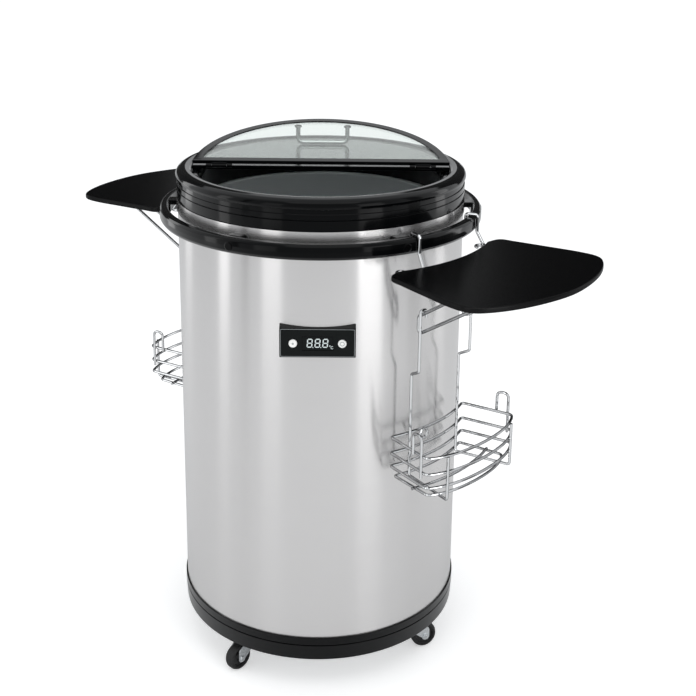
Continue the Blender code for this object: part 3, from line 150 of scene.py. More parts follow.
# Grey and black cloths hang round the set and show only in the polished surfaces: two black ones
# behind, left and right, and grey ones beside and behind the camera. Each is given by its
# place, width, height and brightness.
for i, (x, y, high, wide, tall, bright) in enumerate((
        (1.05, 1.6, 1.45, 1.4, 1.5, 0.05), (-1.05, 1.6, 1.45, 1.4, 1.5, 0.05),
        (0.0, -2.9, 1.9, 2.4, 1.8, 0.62), (-2.43, -1.58, 1.5, 0.3, 3.0, 0.20),
        (2.81, -0.70, 1.5, 0.6, 3.0, 0.20))):
    cloth, tree = bare("studio_cloth_%d" % i)
    glow = add(tree, "ShaderNodeEmission", {"Color": WHITE, "Strength": bright})
    add(tree, "ShaderNodeOutputMaterial", {"Surface": glow})
    drape = plane("drape_%d" % i, wide, tall)
    drape.location = (x, y, high)
    drape.rotation_euler = (radians(90.0), 0.0, atan2(x, -y))
    drape.data.materials.append(cloth)
    drape.visible_camera = drape.visible_diffuse = False
    drape.visible_shadow = drape.visible_transmission = False

# ------------------------------------------------------------------ base ring
# The foot of the barrel is a ring of injection-moulded ABS in two tiers with a groove between
# them. The steel stands in a rebate in its top and the base plate lies on its inner flange.
SHARP = radians(35.0)


def rounded(before, here, after, radius, steps, most):
    """Points on the curve that rounds a corner, which takes up to a share of each side."""
    a, b = before - here, after - here
    run = min(radius / tan(a.angle(b) / 2), a.length * most, b.length * most)
    start, end = here + a.normalized() * run, here + b.normalized() * run
    return [start * (1 - k / steps) ** 2 + here * 2 * (k / steps) * (1 - k / steps)
            + end * (k / steps) ** 2 for k in range(steps + 1)]


def corners(points, steps=4):
    """An outline's points (x, y, radius) with each corner rounded to its radius."""
    made = []
    for i, (x, y, *more) in enumerate(points):
        before, here, after = [Vector(points[j % len(points)][:2]) for j in (i - 1, i, i + 1)]
        radius = more[0] if more else 0.0
        if radius == 0.0 or (before - here).angle(after - here) > radians(178.0):
            made.append((x, y))
        else:
            spots = rounded(before, here, after, radius, steps, 0.49)
            made += [(spot.x, spot.y) for spot in spots]
    return made


def turned(points, steps=168, soft=4):
    """A closed outline of (radius, height, corner radius) spun round Z into a mesh."""
    outline = corners(points, soft)
    work = bmesh.new()
    rings = []
    for i in range(steps):
        turn = 2 * pi * i / steps
        rings.append([work.verts.new((r * cos(turn), r * sin(turn), z)) for r, z in outline])
    for i, ring in enumerate(rings):
        after = rings[(i + 1) % steps]
        for j in range(len(outline)):
            k = (j + 1) % len(outline)
            if outline[j][0] > 1e-6 or outline[k][0] > 1e-6:
                work.faces.new((ring[j], ring[k], after[k], after[j]))
    bmesh.ops.remove_doubles(work, verts=work.verts, dist=1e-6)
    bmesh.ops.dissolve_degenerate(work, edges=work.edges, dist=1e-7)
    bmesh.ops.recalc_face_normals(work, faces=work.faces)
    mesh = bpy.data.meshes.new("turned")
    work.to_mesh(mesh)
    work.free()
    return mesh


def piece(name, mesh, material, body, nodes=()):
    """Makes a mesh a piece of the object that rides on a body and stands for CAD nodes."""
    mesh.name = name
    made = bpy.data.objects.new(name, mesh)
    scene.collection.objects.link(made)
    mesh.materials.clear()
    mesh.materials.append(material)
    mesh.shade_smooth()
    mesh.set_sharp_from_angle(angle=SHARP)
    # The broad faces lead the shading, so they stay flat right up to their rounded edges.
    lead = made.modifiers.new("broad_faces_lead", "WEIGHTED_NORMAL")
    lead.keep_sharp = True
    bpy.context.view_layer.update()
    made.data = bpy.data.meshes.new_from_object(
        made.evaluated_get(bpy.context.evaluated_depsgraph_get()))
    made.modifiers.clear()
    made.data.name = name
    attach(made, body)
    if nodes:
        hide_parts(*nodes)
    return made


def nodes_of(material):
    """A material's node tree and its Principled BSDF."""
    return material.node_tree, material.node_tree.nodes["Principled BSDF"]


def skin(material, size_mm, height_mm, spread):
    """A fine uneven skin: grains of this size lift the surface and vary its roughness."""
    tree, shader = nodes_of(material)
    where = add(tree, "ShaderNodeTexCoord")
    grain = add(tree, "ShaderNodeTexNoise", {"Vector": where.outputs["Object"],
                                            "Scale": 1000 / size_mm, "Detail": 2.0,
                                            "Roughness": 0.6})
    bump = add(tree, "ShaderNodeBump", {"Height": grain.outputs["Fac"], "Strength": 0.5,
                                        "Distance": height_mm / 1000})
    fed(shader, {"Normal": bump})
    rough = shader.inputs["Roughness"].default_value
    vary = add(tree, "ShaderNodeMapRange", {0: grain.outputs["Fac"], 1: 0.3, 2: 0.7,
                                            3: rough - spread, 4: rough + spread})
    fed(shader, {"Roughness": vary})
    return grain.outputs["Fac"]


def finish(name, colour, roughness, metallic=0.0, grain=None, **more):
    """A Principled material, with a skin's values; spaces in a socket's name are underscores."""
    made = bpy.data.materials.new(name)
    made.use_nodes = True
    sockets = {"Base_Color": linear(colour), "Roughness": roughness, "Metallic": metallic, **more}
    fed(nodes_of(made)[1], {key.replace("_", " "): value for key, value in sockets.items()})
    if grain:
        skin(made, *grain)
    return made


def turned_away(material, start, end):
    """0 on faces turned to the eye, 1 on those turned away, between two facing values."""
    tree = material.node_tree
    weight = add(tree, "ShaderNodeLayerWeight", {"Blend": 0.5})
    return add(tree, "ShaderNodeMapRange", {0: weight.outputs["Facing"], 1: start, 2: end})


def flanks(material, facing, edge):
    """Runs the reflection from the faces turned to the eye to those turned away."""
    tree, shader = nodes_of(material)
    value = fed(turned_away(material, 0.08, 0.60), {3: facing, 4: edge})
    fed(shader, {"Specular IOR Level": value})


def tinted(material, share, low, high):
    """Runs a material's colour from one to another by a share."""
    tree, shader = nodes_of(material)
    tint = add(tree, "ShaderNodeMix", {0: share, 6: linear(low), 7: linear(high)},
               data_type="RGBA")
    fed(shader, {"Base Color": tint.outputs[2]})


# Moulded ABS from a finely blasted mould: black, with soft highlights along its edges.
satin_abs = finish("satin_moulded_abs", "#040405", 0.24, grain=(1.2, 0.008, 0.04), IOR=1.50)
flanks(satin_abs, 0.05, 0.40)
# Polished ABS from a mirror-finished mould: deep black, sharp reflections, a faint waviness.
gloss_abs = finish("polished_moulded_abs", "#040506", 0.10, grain=(14.0, 0.02, 0.02), IOR=1.50)
flanks(gloss_abs, 0.10, 0.60)
# Zinc-plated sheet: blue-grey and dull, with a cloudy spangle.
zinc = finish("zinc_plated_steel", "#D2D5D7", 0.28, 1.0)
tinted(zinc, skin(zinc, 5.0, 0.01, 0.08), "#C6CACD", "#DEE0E1")

BARREL = 0.2125
GAP = 0.0003
piece("base_moulding", turned([
    (BARREL + GAP, 0.0885, 0.0003), (0.2148, 0.0885, 0.0014), (0.2148, 0.0770, 0.0005),
    (0.2130, 0.0770, 0.0003), (0.2130, 0.0755, 0.0003), (0.2148, 0.0755, 0.0006),
    (0.2135, 0.0520, 0.0012), (0.1950, 0.0520, 0.0006), (0.1950, 0.0560, 0.0006),
    (0.2050, 0.0560, 0.0010), (0.2050, 0.0785), (BARREL + GAP, 0.0785)]),
    gloss_abs, "cabinet", ("base_ring",))


def dress(names, material):
    """Gives CAD nodes that stay as they are the real one's finish."""
    for name in names:
        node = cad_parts[name]
        node.data.materials.clear()
        node.data.materials.append(material)


dress(("base_plate", "castor_cap_front_right", "castor_cap_rear_right", "castor_cap_rear_left",
       "castor_cap_front_left", "hinge_pin_left", "hinge_pin_right"), zinc)

# ------------------------------------------------------------------ castors
# Four swivel castors: a zinc-plated fork pressed from sheet under a ball race, a bolted axle,
# and a black polypropylene wheel with a soft tyre.
# Thermoplastic rubber: dark grey black, dull, a little dusty where it rolls.
tyre_rubber = finish("tyre_rubber", "#1B1B1C", 0.72, grain=(0.8, 0.04, 0.08), IOR=1.52)
# Polypropylene: black with a waxy sheen.
hub_plastic = finish("moulded_polypropylene", "#151516", 0.45, grain=(1.5, 0.02, 0.05), IOR=1.49)
WHEEL = 0.0200
TRAIL = 0.0200
CROWN = 0.0440


def joined(meshes):
    """Several meshes as one."""
    work = bmesh.new()
    for mesh in meshes:
        work.from_mesh(mesh)
    whole = bpy.data.meshes.new("joined")
    work.to_mesh(whole)
    work.free()
    return whole


def placed(mesh, matrix):
    """A copy of a mesh, moved."""
    made = mesh.copy()
    made.transform(matrix)
    return made


def plate(outlines, thick, edge=0.0, rounds=3):
    """A sheet with these outlines (the second is a hole) about z = 0, its edges rounded."""
    data = bpy.data.curves.new("plate", "CURVE")
    data.dimensions = "2D"
    data.fill_mode = "BOTH"
    data.extrude = thick / 2 - edge
    data.bevel_depth = edge
    data.offset = -edge
    data.bevel_resolution = rounds
    for outline in outlines:
        spline = data.splines.new("POLY")
        spline.points.add(len(outline) - 1)
        for knot, (x, y) in zip(spline.points, outline):
            knot.co = (x, y, 0.0, 1.0)
        spline.use_cyclic_u = True
    made = bpy.data.objects.new("plate", data)
    scene.collection.objects.link(made)
    mesh = baked(made)
    work = bmesh.new()
    work.from_mesh(mesh)
    bmesh.ops.remove_doubles(work, verts=work.verts, dist=1e-6)
    bmesh.ops.recalc_face_normals(work, faces=work.faces)
    work.to_mesh(mesh)
    work.free()
    return mesh


def baked(made):
    """The mesh that an object's modifiers leave, in place of the object."""
    bpy.context.view_layer.update()
    mesh = bpy.data.meshes.new_from_object(
        made.evaluated_get(bpy.context.evaluated_depsgraph_get()))
    mesh.transform(made.matrix_world)
    bpy.data.objects.remove(made)
    return mesh


def at(x, y, z):
    """A move to a place."""
    return Matrix.Translation((x, y, z))


def quarter(axis):
    """A quarter turn about an axis."""
    return Matrix.Rotation(pi / 2, 4, axis)


def spun(turn):
    """A turn about Z."""
    return Matrix.Rotation(turn, 4, "Z")


half_wide = 0.0075
NOSE = 0.0065
LEAN = CROWN - WHEEL
cheek = [(-0.50 * TRAIL, CROWN, 0.002), (0.42 * TRAIL, CROWN, 0.004),
         (0.82 * TRAIL, WHEEL + 0.85 * LEAN, 0.006), (1.32 * TRAIL, WHEEL + 0.0135, 0.008)]
for i in range(6):
    turn = radians(15) - radians(185) * i / 5
    cheek.append((TRAIL + NOSE * cos(turn), WHEEL + NOSE * sin(turn), 0.001))
cheek.append((-0.52 * TRAIL, WHEEL + 0.72 * LEAN, 0.003))
cheek = plate([corners(cheek, 3)], 0.0020, 0.0004, 1)
beyond = half_wide + 0.0010 + 0.0010
fork = [placed(cheek, at(0.0, side * beyond, 0.0) @ quarter("X")) for side in (-1, 1)]
fork.append(turned([(0.0, 0.0462), (0.0110, 0.0462, 0.0008), (0.0125, 0.0448, 0.0012),
                    (0.0125, 0.0430, 0.0004), (0.0, 0.0430)], 48))
fork.append(turned([(0.0, 0.0530), (0.0040, 0.0530, 0.0006), (0.0040, 0.0460), (0.0, 0.0460)],
                   24))
# Axle bolt: a hexagon head one side, a nut and the bolt's end the other.
bolt_end = turned([(0.0, beyond + 0.0042), (0.0022, beyond + 0.0042, 0.0006), (0.0022, beyond),
                   (0.0, beyond)], 20)
nut = turned([(0.0, 0.0026), (0.0046, 0.0026, 0.0006), (0.0050, 0.0020), (0.0050, 0.0),
              (0.0, 0.0)], 6)
head = turned([(0.0, 0.0020), (0.0040, 0.0020, 0.0008), (0.0046, 0.0), (0.0, 0.0)], 6)
axle = turned([(0.0, beyond), (0.0029, beyond), (0.0029, -beyond), (0.0, -beyond)], 20)
bolt = joined([bolt_end, placed(nut, at(0.0, 0.0, beyond + 0.0008)),
               placed(head, at(0.0, 0.0, -beyond - 0.0008) @ Matrix.Rotation(pi, 4, "X")), axle])
on_axle = at(TRAIL, 0.0, WHEEL) @ quarter("X")
fork = joined(fork + [placed(bolt, on_axle)])
tread = [(0.0150, half_wide, 0.0004), (0.0182, half_wide, 0.0022), (WHEEL, 0.0034, 0.0030)]
tyre = turned(tread + [(r, -z, soft) for r, z, soft in tread[::-1]] + [(0.0150, 0.0)], 72)
hub_face = [(0.0034, 0.0070, 0.0004), (0.0062, 0.0070, 0.0005), (0.0072, 0.0048, 0.0008),
            (0.0126, 0.0042, 0.0010), (0.0138, 0.0066, 0.0006), (0.0149, 0.0066, 0.0004)]
hub = turned(hub_face + [(r, -z, soft) for r, z, soft in hub_face[::-1]], 48)
CASTOR_CIRCLE = 0.1800
for i, (word, trail) in enumerate((("front_right", 22.0), ("rear_right", 38.0),
                                   ("rear_left", 152.0), ("front_left", 225.0))):
    spot = -pi / 4 + radians(9.0) + pi / 2 * i
    stand = at(CASTOR_CIRCLE * cos(spot), CASTOR_CIRCLE * sin(spot), 0.0) @ spun(radians(trail))
    piece("fork_" + word, placed(fork, stand), zinc, "fork_" + word, ("castor_fork_" + word,))
    roll = stand @ at(TRAIL, 0.0, WHEEL) @ quarter("X")
    piece("tyre_" + word, placed(tyre, roll), tyre_rubber, "wheel_" + word,
          ("castor_wheel_" + word,))
    piece("hub_" + word, placed(hub, roll), hub_plastic, "wheel_" + word, ())

# ------------------------------------------------------------------ barrel
# Stainless sheet 0.8 mm thick, rolled to a barrel with its brushing running round it and closed
# by a flat lap seam behind. It stands in the base and is cut out for the vent, drain and cord.
# Brushed stainless: fine lines round the barrel draw each reflection out into upright bands.
steel = finish("brushed_stainless_steel", "#DCDAD9", 0.24, 1.0, Anisotropic=0.92,
               Anisotropic_Rotation=0.25)
tree, shader = nodes_of(steel)
where = add(tree, "ShaderNodeTexCoord")
axes = add(tree, "ShaderNodeSeparateXYZ", {0: where.outputs["Object"]})
turn = add(tree, "ShaderNodeMath", {0: axes.outputs["Y"], 1: axes.outputs["X"]},
           operation="ARCTAN2")
# 0.4 mm brush lines would not show, so they are drawn 1.2 mm apart and about 150 mm long.
lines = add(tree, "ShaderNodeCombineXYZ", {0: turn, 1: axes.outputs["Z"]})
lines = add(tree, "ShaderNodeMapping", {0: lines, "Scale": (2.2, 830.0, 1.0)})
brush = add(tree, "ShaderNodeTexNoise", {"Vector": lines, "Scale": 1.0, "Detail": 5.0,
                                        "Roughness": 0.65}, noise_dimensions="2D")
bump = add(tree, "ShaderNodeBump", {"Height": brush.outputs["Fac"], "Strength": 0.02,
                                    "Distance": 0.00002})
fed(shader, {"Normal": bump})
vary = add(tree, "ShaderNodeMapRange", {0: brush.outputs["Fac"], 1: 0.3, 2: 0.7, 3: 0.23, 4: 0.25})
fed(shader, {"Roughness": vary})
tone = add(tree, "ShaderNodeMapRange", {0: brush.outputs["Fac"], 1: 0.3, 2: 0.7, 3: 0.0, 4: 1.0})
tinted(steel, tone, "#DBD9D9", "#DFDEDD")
grain = add(tree, "ShaderNodeTangent", direction_type="RADIAL", axis="Z")
fed(shader, {"Tangent": grain})

# The vent's width, height and level, then the drain's and the gland's bearing and height.
VENT = (0.1280, 0.0900, 0.1500)
DRAIN = (radians(122.0), 0.2890)
GLAND = (radians(58.0), 0.1180)


def loose(name, mesh):
    """A mesh as a plain object, to carry modifiers."""
    made = bpy.data.objects.new(name, mesh)
    scene.collection.objects.link(made)
    return made


def cut(base, tools, operation="DIFFERENCE"):
    """A mesh cut by others, or the part that it shares with them."""
    made = loose("cut", base)
    helpers = [loose("tool", tool) for tool in tools]
    for helper in helpers:
        step = made.modifiers.new("cut", "BOOLEAN")
        step.operation = operation
        step.solver = "EXACT"
        step.object = helper
    mesh = baked(made)
    for helper in helpers:
        bpy.data.objects.remove(helper)
    return mesh


def rod(radius, length, steps=40):
    """A round bar that stands on z = 0."""
    return turned([(0.0, length), (radius, length), (radius, 0.0), (0.0, 0.0)], steps)


def outward(turn, height, radius=0.0):
    """From Z up to straight out of the barrel at a bearing, a height and a radius."""
    return spun(turn) @ at(radius, 0.0, height) @ quarter("Y")


def rounded_box(width, height, radius, steps=5):
    """Outline of a rounded rectangle about its middle."""
    w, h = width / 2, height / 2
    return corners([(-w, -h, radius), (w, -h, radius), (w, h, radius), (-w, h, radius)], steps)


def behind(outlines, level, thick=0.06):
    """A sheet that stands behind the barrel's axis, thick enough to pass through its wall."""
    return placed(plate(outlines, thick), at(0.0, BARREL, level) @ quarter("X"))


SHEET = 0.0008
ROUND = 240
shell = turned([(BARREL - SHEET, 0.6852), (BARREL, 0.6852), (BARREL, 0.0788),
                (BARREL - SHEET, 0.0788)], ROUND)
shell = cut(shell, [behind([rounded_box(VENT[0], VENT[1], 0.004)], VENT[2]),
                    placed(rod(0.0073, 0.03), outward(*DRAIN, 0.200)),
                    placed(rod(0.0068, 0.03), outward(*GLAND, 0.200))])
piece("barrel_sheet", shell, steel, "cabinet", ("steel_shell",))
seam = cut(turned([(BARREL + 0.0001, 0.6845), (BARREL + 0.0007, 0.6845, 0.0003),
                   (BARREL + 0.0007, 0.0890, 0.0003), (BARREL + 0.0001, 0.0890)], 720, 2),
           [behind([rounded_box(0.0120, 0.60, 0.0001)], 0.39, 0.05)], "INTERSECT")
seam = placed(seam, spun(radians(-52.0)))
piece("lap_seam", seam, steel, "cabinet", ())

# ------------------------------------------------------------------ vent
# The cooling air leaves through a grille behind the compressor: a moulded frame that snaps into
# the cut-out, curved like the barrel, with sloping louvres and four screws.


def node_tool(name, **inputs):
    """A Geometry Nodes tree and its start, which gives a mesh, these inputs and a material."""
    made = bpy.data.node_groups.new(name, "GeometryNodeTree")
    for label, kind in {"Geometry": "Geometry", **inputs, "Material": "Material"}.items():
        made.interface.new_socket(label.replace("_", " "), in_out="INPUT",
                                  socket_type="NodeSocket" + kind)
    made.interface.new_socket("Geometry", in_out="OUTPUT", socket_type="NodeSocketGeometry")
    return made, add(made, "NodeGroupInput")


def ended(tree, start, shape):
    """Ends a tree: the shape's instances become real faces in the given material."""
    real = add(tree, "GeometryNodeRealizeInstances", {0: shape})
    coated = add(tree, "GeometryNodeSetMaterial", {
        "Geometry": real, "Material": start.outputs["Material"]})
    add(tree, "NodeGroupOutput", {0: coated})


def grown(start, tool, values):
    """The plain mesh that a Geometry Nodes tree makes from a mesh."""
    made = loose("grown", start)
    step = made.modifiers.new(tool.name, "NODES")
    step.node_group = tool
    for item in tool.interface.items_tree:
        if item.in_out == "INPUT" and item.name in values:
            step[item.identifier] = values[item.name]
    return baked(made)


# Louvres: one slat is repeated up a line.
louvres, start = node_tool("louvres", Count="Int", Pitch="Float", Foot="Float")
offset = add(louvres, "ShaderNodeCombineXYZ", {2: start.outputs["Pitch"]})
foot = add(louvres, "ShaderNodeCombineXYZ", {2: start.outputs["Foot"]})
line = add(louvres, "GeometryNodeMeshLine", {"Count": start.outputs["Count"],
                                            "Start Location": foot, "Offset": offset})
copies = add(louvres, "GeometryNodeInstanceOnPoints", {
    "Points": line, "Instance": start.outputs["Geometry"]})
ended(louvres, start, copies)

slat = turned([(BARREL - 0.0030, 0.0036, 0.0004), (BARREL + 0.0012, -0.0032, 0.0004),
               (BARREL + 0.0006, -0.0044, 0.0004), (BARREL - 0.0036, 0.0024, 0.0004)],
              ROUND, 1)
slat = cut(slat, [behind([rounded_box(VENT[0] - 0.013, 0.03, 0.001)], 0.0)], "INTERSECT")
PITCH = 0.0088
slats = grown(slat, louvres, {"Count": 9, "Pitch": PITCH, "Foot": VENT[2] - 4 * PITCH,
                              "Material": satin_abs})
piece("vent_louvres", slats, satin_abs, "cabinet", ("vent_grille",))


def vent_rim(near, far, grow, soft):
    """A curved frame from one radius to another, larger than the cut-out by so much."""
    ring = turned([(near, 0.25), (far, 0.25), (far, 0.05), (near, 0.05)], ROUND)
    outlines = [rounded_box(VENT[0] + grow, VENT[1] + grow, soft),
                rounded_box(VENT[0] - 0.014, VENT[1] - 0.014, 0.003)[::-1]]
    return cut(ring, [behind(outlines, VENT[2])], "INTERSECT")


RIM = BARREL + 0.0021
vent_frame = joined([vent_rim(BARREL - 0.0032, BARREL + 0.0020, -0.001, 0.004),
                     vent_rim(BARREL + GAP, RIM, 0.010, 0.008)])
piece("vent_frame", vent_frame, satin_abs, "cabinet", ())

# Small fixings stand on points that carry the way they face.
fixings, start = node_tool("fixings", Fixing="Object")
facing = add(fixings, "GeometryNodeInputNamedAttribute", {"Name": "facing"},
             data_type="FLOAT_VECTOR")
turn_to = add(fixings, "FunctionNodeAlignRotationToVector", {"Vector": facing}, axis="Z")
model = add(fixings, "GeometryNodeObjectInfo", {"Object": start.outputs["Fixing"]})
copies = add(fixings, "GeometryNodeInstanceOnPoints", {
    "Points": start.outputs["Geometry"], "Instance": model.outputs["Geometry"],
    "Rotation": turn_to})
ended(fixings, start, copies)


def fixed_at(spots, fixing, material):
    """Copies of a fixing on (place, facing) pairs, as one mesh."""
    mesh = bpy.data.meshes.new("spots")
    mesh.from_pydata([place for place, _ in spots], [], [])
    facing = mesh.attributes.new("facing", "FLOAT_VECTOR", "POINT")
    for value, (_, way) in zip(facing.data, spots):
        value.vector = way
    model = loose("fixing", fixing)
    made = grown(mesh, fixings, {"Fixing": model, "Material": material})
    bpy.data.objects.remove(model)
    return made


screw = cut(turned([(0.0, 0.0014), (0.0012, 0.0014, 0.0006), (0.0026, 0.0009, 0.0008),
                    (0.0030, 0.0, 0.0002), (0.0, 0.0)], 20, 2),
            [placed(plate([rounded_box(0.0032, 0.0006, 0.0001, 1)], 0.002),
                    at(0.0, 0.0, 0.0016) @ spun(turn)) for turn in (0.0, pi / 2)])
spots = []
for x in (-1, 1):
    for z in (-1, 1):
        bearing = pi / 2 - x * (VENT[0] / 2 - 0.001) / BARREL
        way = Vector((cos(bearing), sin(bearing), 0.0))
        spots.append((way * RIM + Vector((0.0, 0.0, VENT[2] + z * 0.0440)), way))
piece("vent_screws", fixed_at(spots, screw, zinc), zinc, "cabinet", ())

# ------------------------------------------------------------------ drain and cord gland
# Low on the back the tub drains through a moulded spout with a push-on rubber cap, and a rubber
# gland keeps the place of the mains cord.
# Rubber moulding: charcoal, matt, with a soft edge to every highlight.
rubber = finish("moulded_rubber", "#202021", 0.62, grain=(1.0, 0.03, 0.06), IOR=1.52)
face = BARREL + GAP
TUB, TAPER, WALL = 0.1790, 0.0045, 0.0020
inside = TUB - TAPER - WALL
spout = turned([(0.0045, face + 0.0160, 0.0004), (0.0067, face + 0.0160, 0.0008),
                (0.0070, face + 0.0030, 0.0006), (0.0125, face + 0.0030, 0.0010), (0.0125, face),
                (0.0070, face), (0.0070, inside), (0.0045, inside)], 56)
piece("drain_fitting", placed(spout, outward(*DRAIN)), satin_abs, "cabinet", ("drain_spout",))
foot = face + 0.0030 + GAP
cap = turned([(0.0, foot + 0.0160), (0.0090, foot + 0.0160, 0.0012),
              (0.0098, foot + 0.0140, 0.0010), (0.0093, foot + 0.0100, 0.0006),
              (0.0098, foot + 0.0060, 0.0006), (0.0098, foot, 0.0008), (0.0073, foot, 0.0004),
              (0.0073, foot + 0.0130), (0.0, foot + 0.0130)], 56)
piece("drain_push_cap", placed(cap, outward(*DRAIN)), rubber, "cap", ("drain_cap",))
gland = turned([(0.0035, face + 0.0145, 0.0006), (0.0058, face + 0.0145, 0.0010),
                (0.0061, face + 0.0118, 0.0004), (0.0055, face + 0.0106, 0.0004),
                (0.0063, face + 0.0085, 0.0004), (0.0057, face + 0.0070, 0.0004),
                (0.0065, face + 0.0025, 0.0006), (0.0095, face + 0.0025, 0.0008), (0.0095, face),
                (0.0065, face), (0.0065, face - 0.0120), (0.0035, face - 0.0120)], 48)
piece("cord_inlet_gland", placed(gland, outward(*GLAND)), rubber, "cabinet", ("cord_gland",))

# ------------------------------------------------------------------ compressor and foam
# Inside stand the welded compressor and the foam block round the tub. The louvres let little of
# them be seen.
# Baked enamel: black, smooth, with a slight orange peel.
enamel = finish("baked_black_enamel", "#101112", 0.32, grain=(2.5, 0.03, 0.04), IOR=1.52)
# Rigid polyurethane foam: straw yellow with small cells.
foam = finish("polyurethane_foam", "#D8C68E", 0.92, grain=(1.6, 0.30, 0.03), IOR=1.45)
dress(["compressor"], enamel)
dress(["insulation"], foam)

# ------------------------------------------------------------------ bracket band
# A moulded band closes the barrel's top edge. Six arms grow from it and carry the rail, each
# ending in a pad behind it.
BAND_FOOT, BAND_TOP = 0.6855, 0.7040
RAIL_TOP, RAIL_TALL = 0.6935, 0.0220
RAIL_INNER, RAIL_OUTER = 0.2280, 0.2392
piece("top_band", turned([
    (0.2000, BAND_TOP, 0.0006), (0.2135, BAND_TOP, 0.0014), (0.2135, BAND_FOOT, 0.0006),
    (0.2113, BAND_FOOT), (0.2113, BAND_FOOT - 0.0100, 0.0006),
    (0.2000, BAND_FOOT - 0.0100, 0.0006)]), gloss_abs, "cabinet", ("bracket_band",))
# Above the arms a strip of the barrel's steel covers the band.
strip = turned([(0.2136, 0.7039), (0.2140, 0.7039, 0.0002), (0.2140, BAND_FOOT + 0.0002, 0.0002),
                (0.2136, BAND_FOOT + 0.0002)], ROUND, 2)
piece("band_strip", strip, steel, "cabinet", ())
arm = plate([rounded_box(0.0200, 0.0080, 0.0016, 3)], 0.0175, 0.0003, 1)
arm = placed(arm, at(0.0, 0.0, BAND_FOOT + 0.0043) @ quarter("Z") @ quarter("X"))
pad = plate([rounded_box(0.0182, 0.0175, 0.0025, 3)], 0.0030, 0.0006, 2)
pad = placed(pad, at(0.00755, 0.0, RAIL_TOP - 0.0018 - 0.00875) @ quarter("Z") @ quarter("X"))
# Round the barrel: the same arm is set on the points of a circle and turned to face out.
round_barrel, start = node_tool("round_the_barrel", Count="Int", Radius="Float")
circle = add(round_barrel, "GeometryNodeMeshCircle", {"Vertices": start.outputs["Count"],
                                                     "Radius": start.outputs["Radius"]})
spot = add(round_barrel, "GeometryNodeInputPosition")
turn_to = add(round_barrel, "FunctionNodeAlignRotationToVector", {"Vector": spot},
              axis="X", pivot_axis="Z")
copies = add(round_barrel, "GeometryNodeInstanceOnPoints", {
    "Points": circle, "Instance": start.outputs["Geometry"], "Rotation": turn_to})
ended(round_barrel, start, copies)
ARMS = 6
arms = grown(joined([arm, pad]), round_barrel, {"Count": ARMS, "Radius": 0.21805,
                                                "Material": gloss_abs})
piece("rail_arms", arms, gloss_abs, "cabinet", ())

# ------------------------------------------------------------------ rail
# The rail is one glossy moulded hoop, D-shaped in section, screwed to the six pads. A round plug
# covers each screw on its outer face. The trays hang on it.
shares = ((0.0, 0.03, 0.0006), (0.14, 0.0, 0.0012), (0.74, 0.0, 0.0030), (0.985, 0.20, 0.0040),
          (1.0, 0.50, 0.0060), (0.97, 0.80, 0.0040), (0.72, 0.97, 0.0030), (0.0, 1.0, 0.0008))
hoop = [(RAIL_INNER + out * (RAIL_OUTER - RAIL_INNER), RAIL_TOP - RAIL_TALL + up * RAIL_TALL, soft)
        for out, up, soft in shares]
piece("grab_rail", turned(hoop[::-1], ROUND), gloss_abs, "cabinet", ("rail",))
plug = turned([(0.0, 0.0011), (0.0052, 0.0011, 0.0006), (0.0064, 0.0004, 0.0006),
               (0.0065, -0.0012), (0.0, -0.0012)], 32, 3)
spots = []
for i in range(ARMS):
    way = Vector((cos(pi / 3 * i), sin(pi / 3 * i), 0.0))
    spots.append((way * (RAIL_OUTER - 0.0001) + Vector((0.0, 0.0, 0.6815)), way))
piece("rail_plugs", fixed_at(spots, plug, satin_abs), satin_abs, "cabinet", ())

# ------------------------------------------------------------------ collar
# The collar is a deep ring moulded in glossy ABS that clips on the band: a rolled lip over the
# tub's mouth, two lines round its side, and a ledge inside for the lid.
FOOT = 0.7043
TOP = 0.7487
DEEP = 0.0444
lip = [(0.1915 + out * 0.0237, TOP - down * DEEP, soft) for out, down, soft in (
    (0.0, 0.060, 0.0012), (0.14, 0.012, 0.0025), (0.40, 0.0, 0.0060), (0.68, 0.030, 0.0080),
    (0.91, 0.110, 0.0070), (1.0, 0.225, 0.0050), (0.955, 0.315, 0.0010))]
side = [(r, TOP - down * DEEP, soft) for r, down, soft in (
    (0.2120, 0.328, 0.0006), (0.2120, 0.472, 0.0006), (0.2134, 0.486, 0.0006),
    (0.2134, 0.642, 0.0004), (0.2120, 0.660, 0.0004), (0.2120, 0.670, 0.0004),
    (0.2134, 0.688, 0.0004), (0.2134, 1.0, 0.0008))]
inner = [(0.1985, FOOT), (0.1985, 0.6943, 0.0006), (0.1835, 0.6943, 0.0006),
         (0.1835, 0.7410, 0.0008), (0.1915, 0.7410, 0.0005)]
piece("collar_moulding", turned(lip + side + inner, 216), gloss_abs, "cabinet", ("collar",))

# ------------------------------------------------------------------ tub
# The tub is drawn down from one sheet of grey polystyrene by vacuum, so its corners are soft and
# its wall tapers. Its rim is caught under the collar.
# High-impact polystyrene: light grey with a low sheen.
hips = finish("vacuum_formed_polystyrene", "#AEB1B3", 0.38, grain=(6.0, 0.06, 0.05), IOR=1.59)
piece("tub", turned([
    (0.1985, 0.6940, 0.0006), (0.1985, 0.6920), (TUB, 0.6920, 0.0030),
    (TUB - TAPER, 0.2640, 0.0180), (0.0, 0.2640), (0.0, 0.2660),
    (TUB - TAPER - WALL, 0.2660, 0.0180), (TUB - WALL, 0.6940, 0.0030)], 144, 6),
    hips, "cabinet", ("liner",))

# ------------------------------------------------------------------ lid
# The lid is two half discs of tempered glass in moulded frames. The rear half is fixed behind a
# bar across the mouth; the front half turns on two pins and lies folded back over it.
LID = 0.1907
LID_FOOT = 0.7413
LID_TOP = 0.7468
HINGE = Vector((0.0, -0.0155, 0.7480))
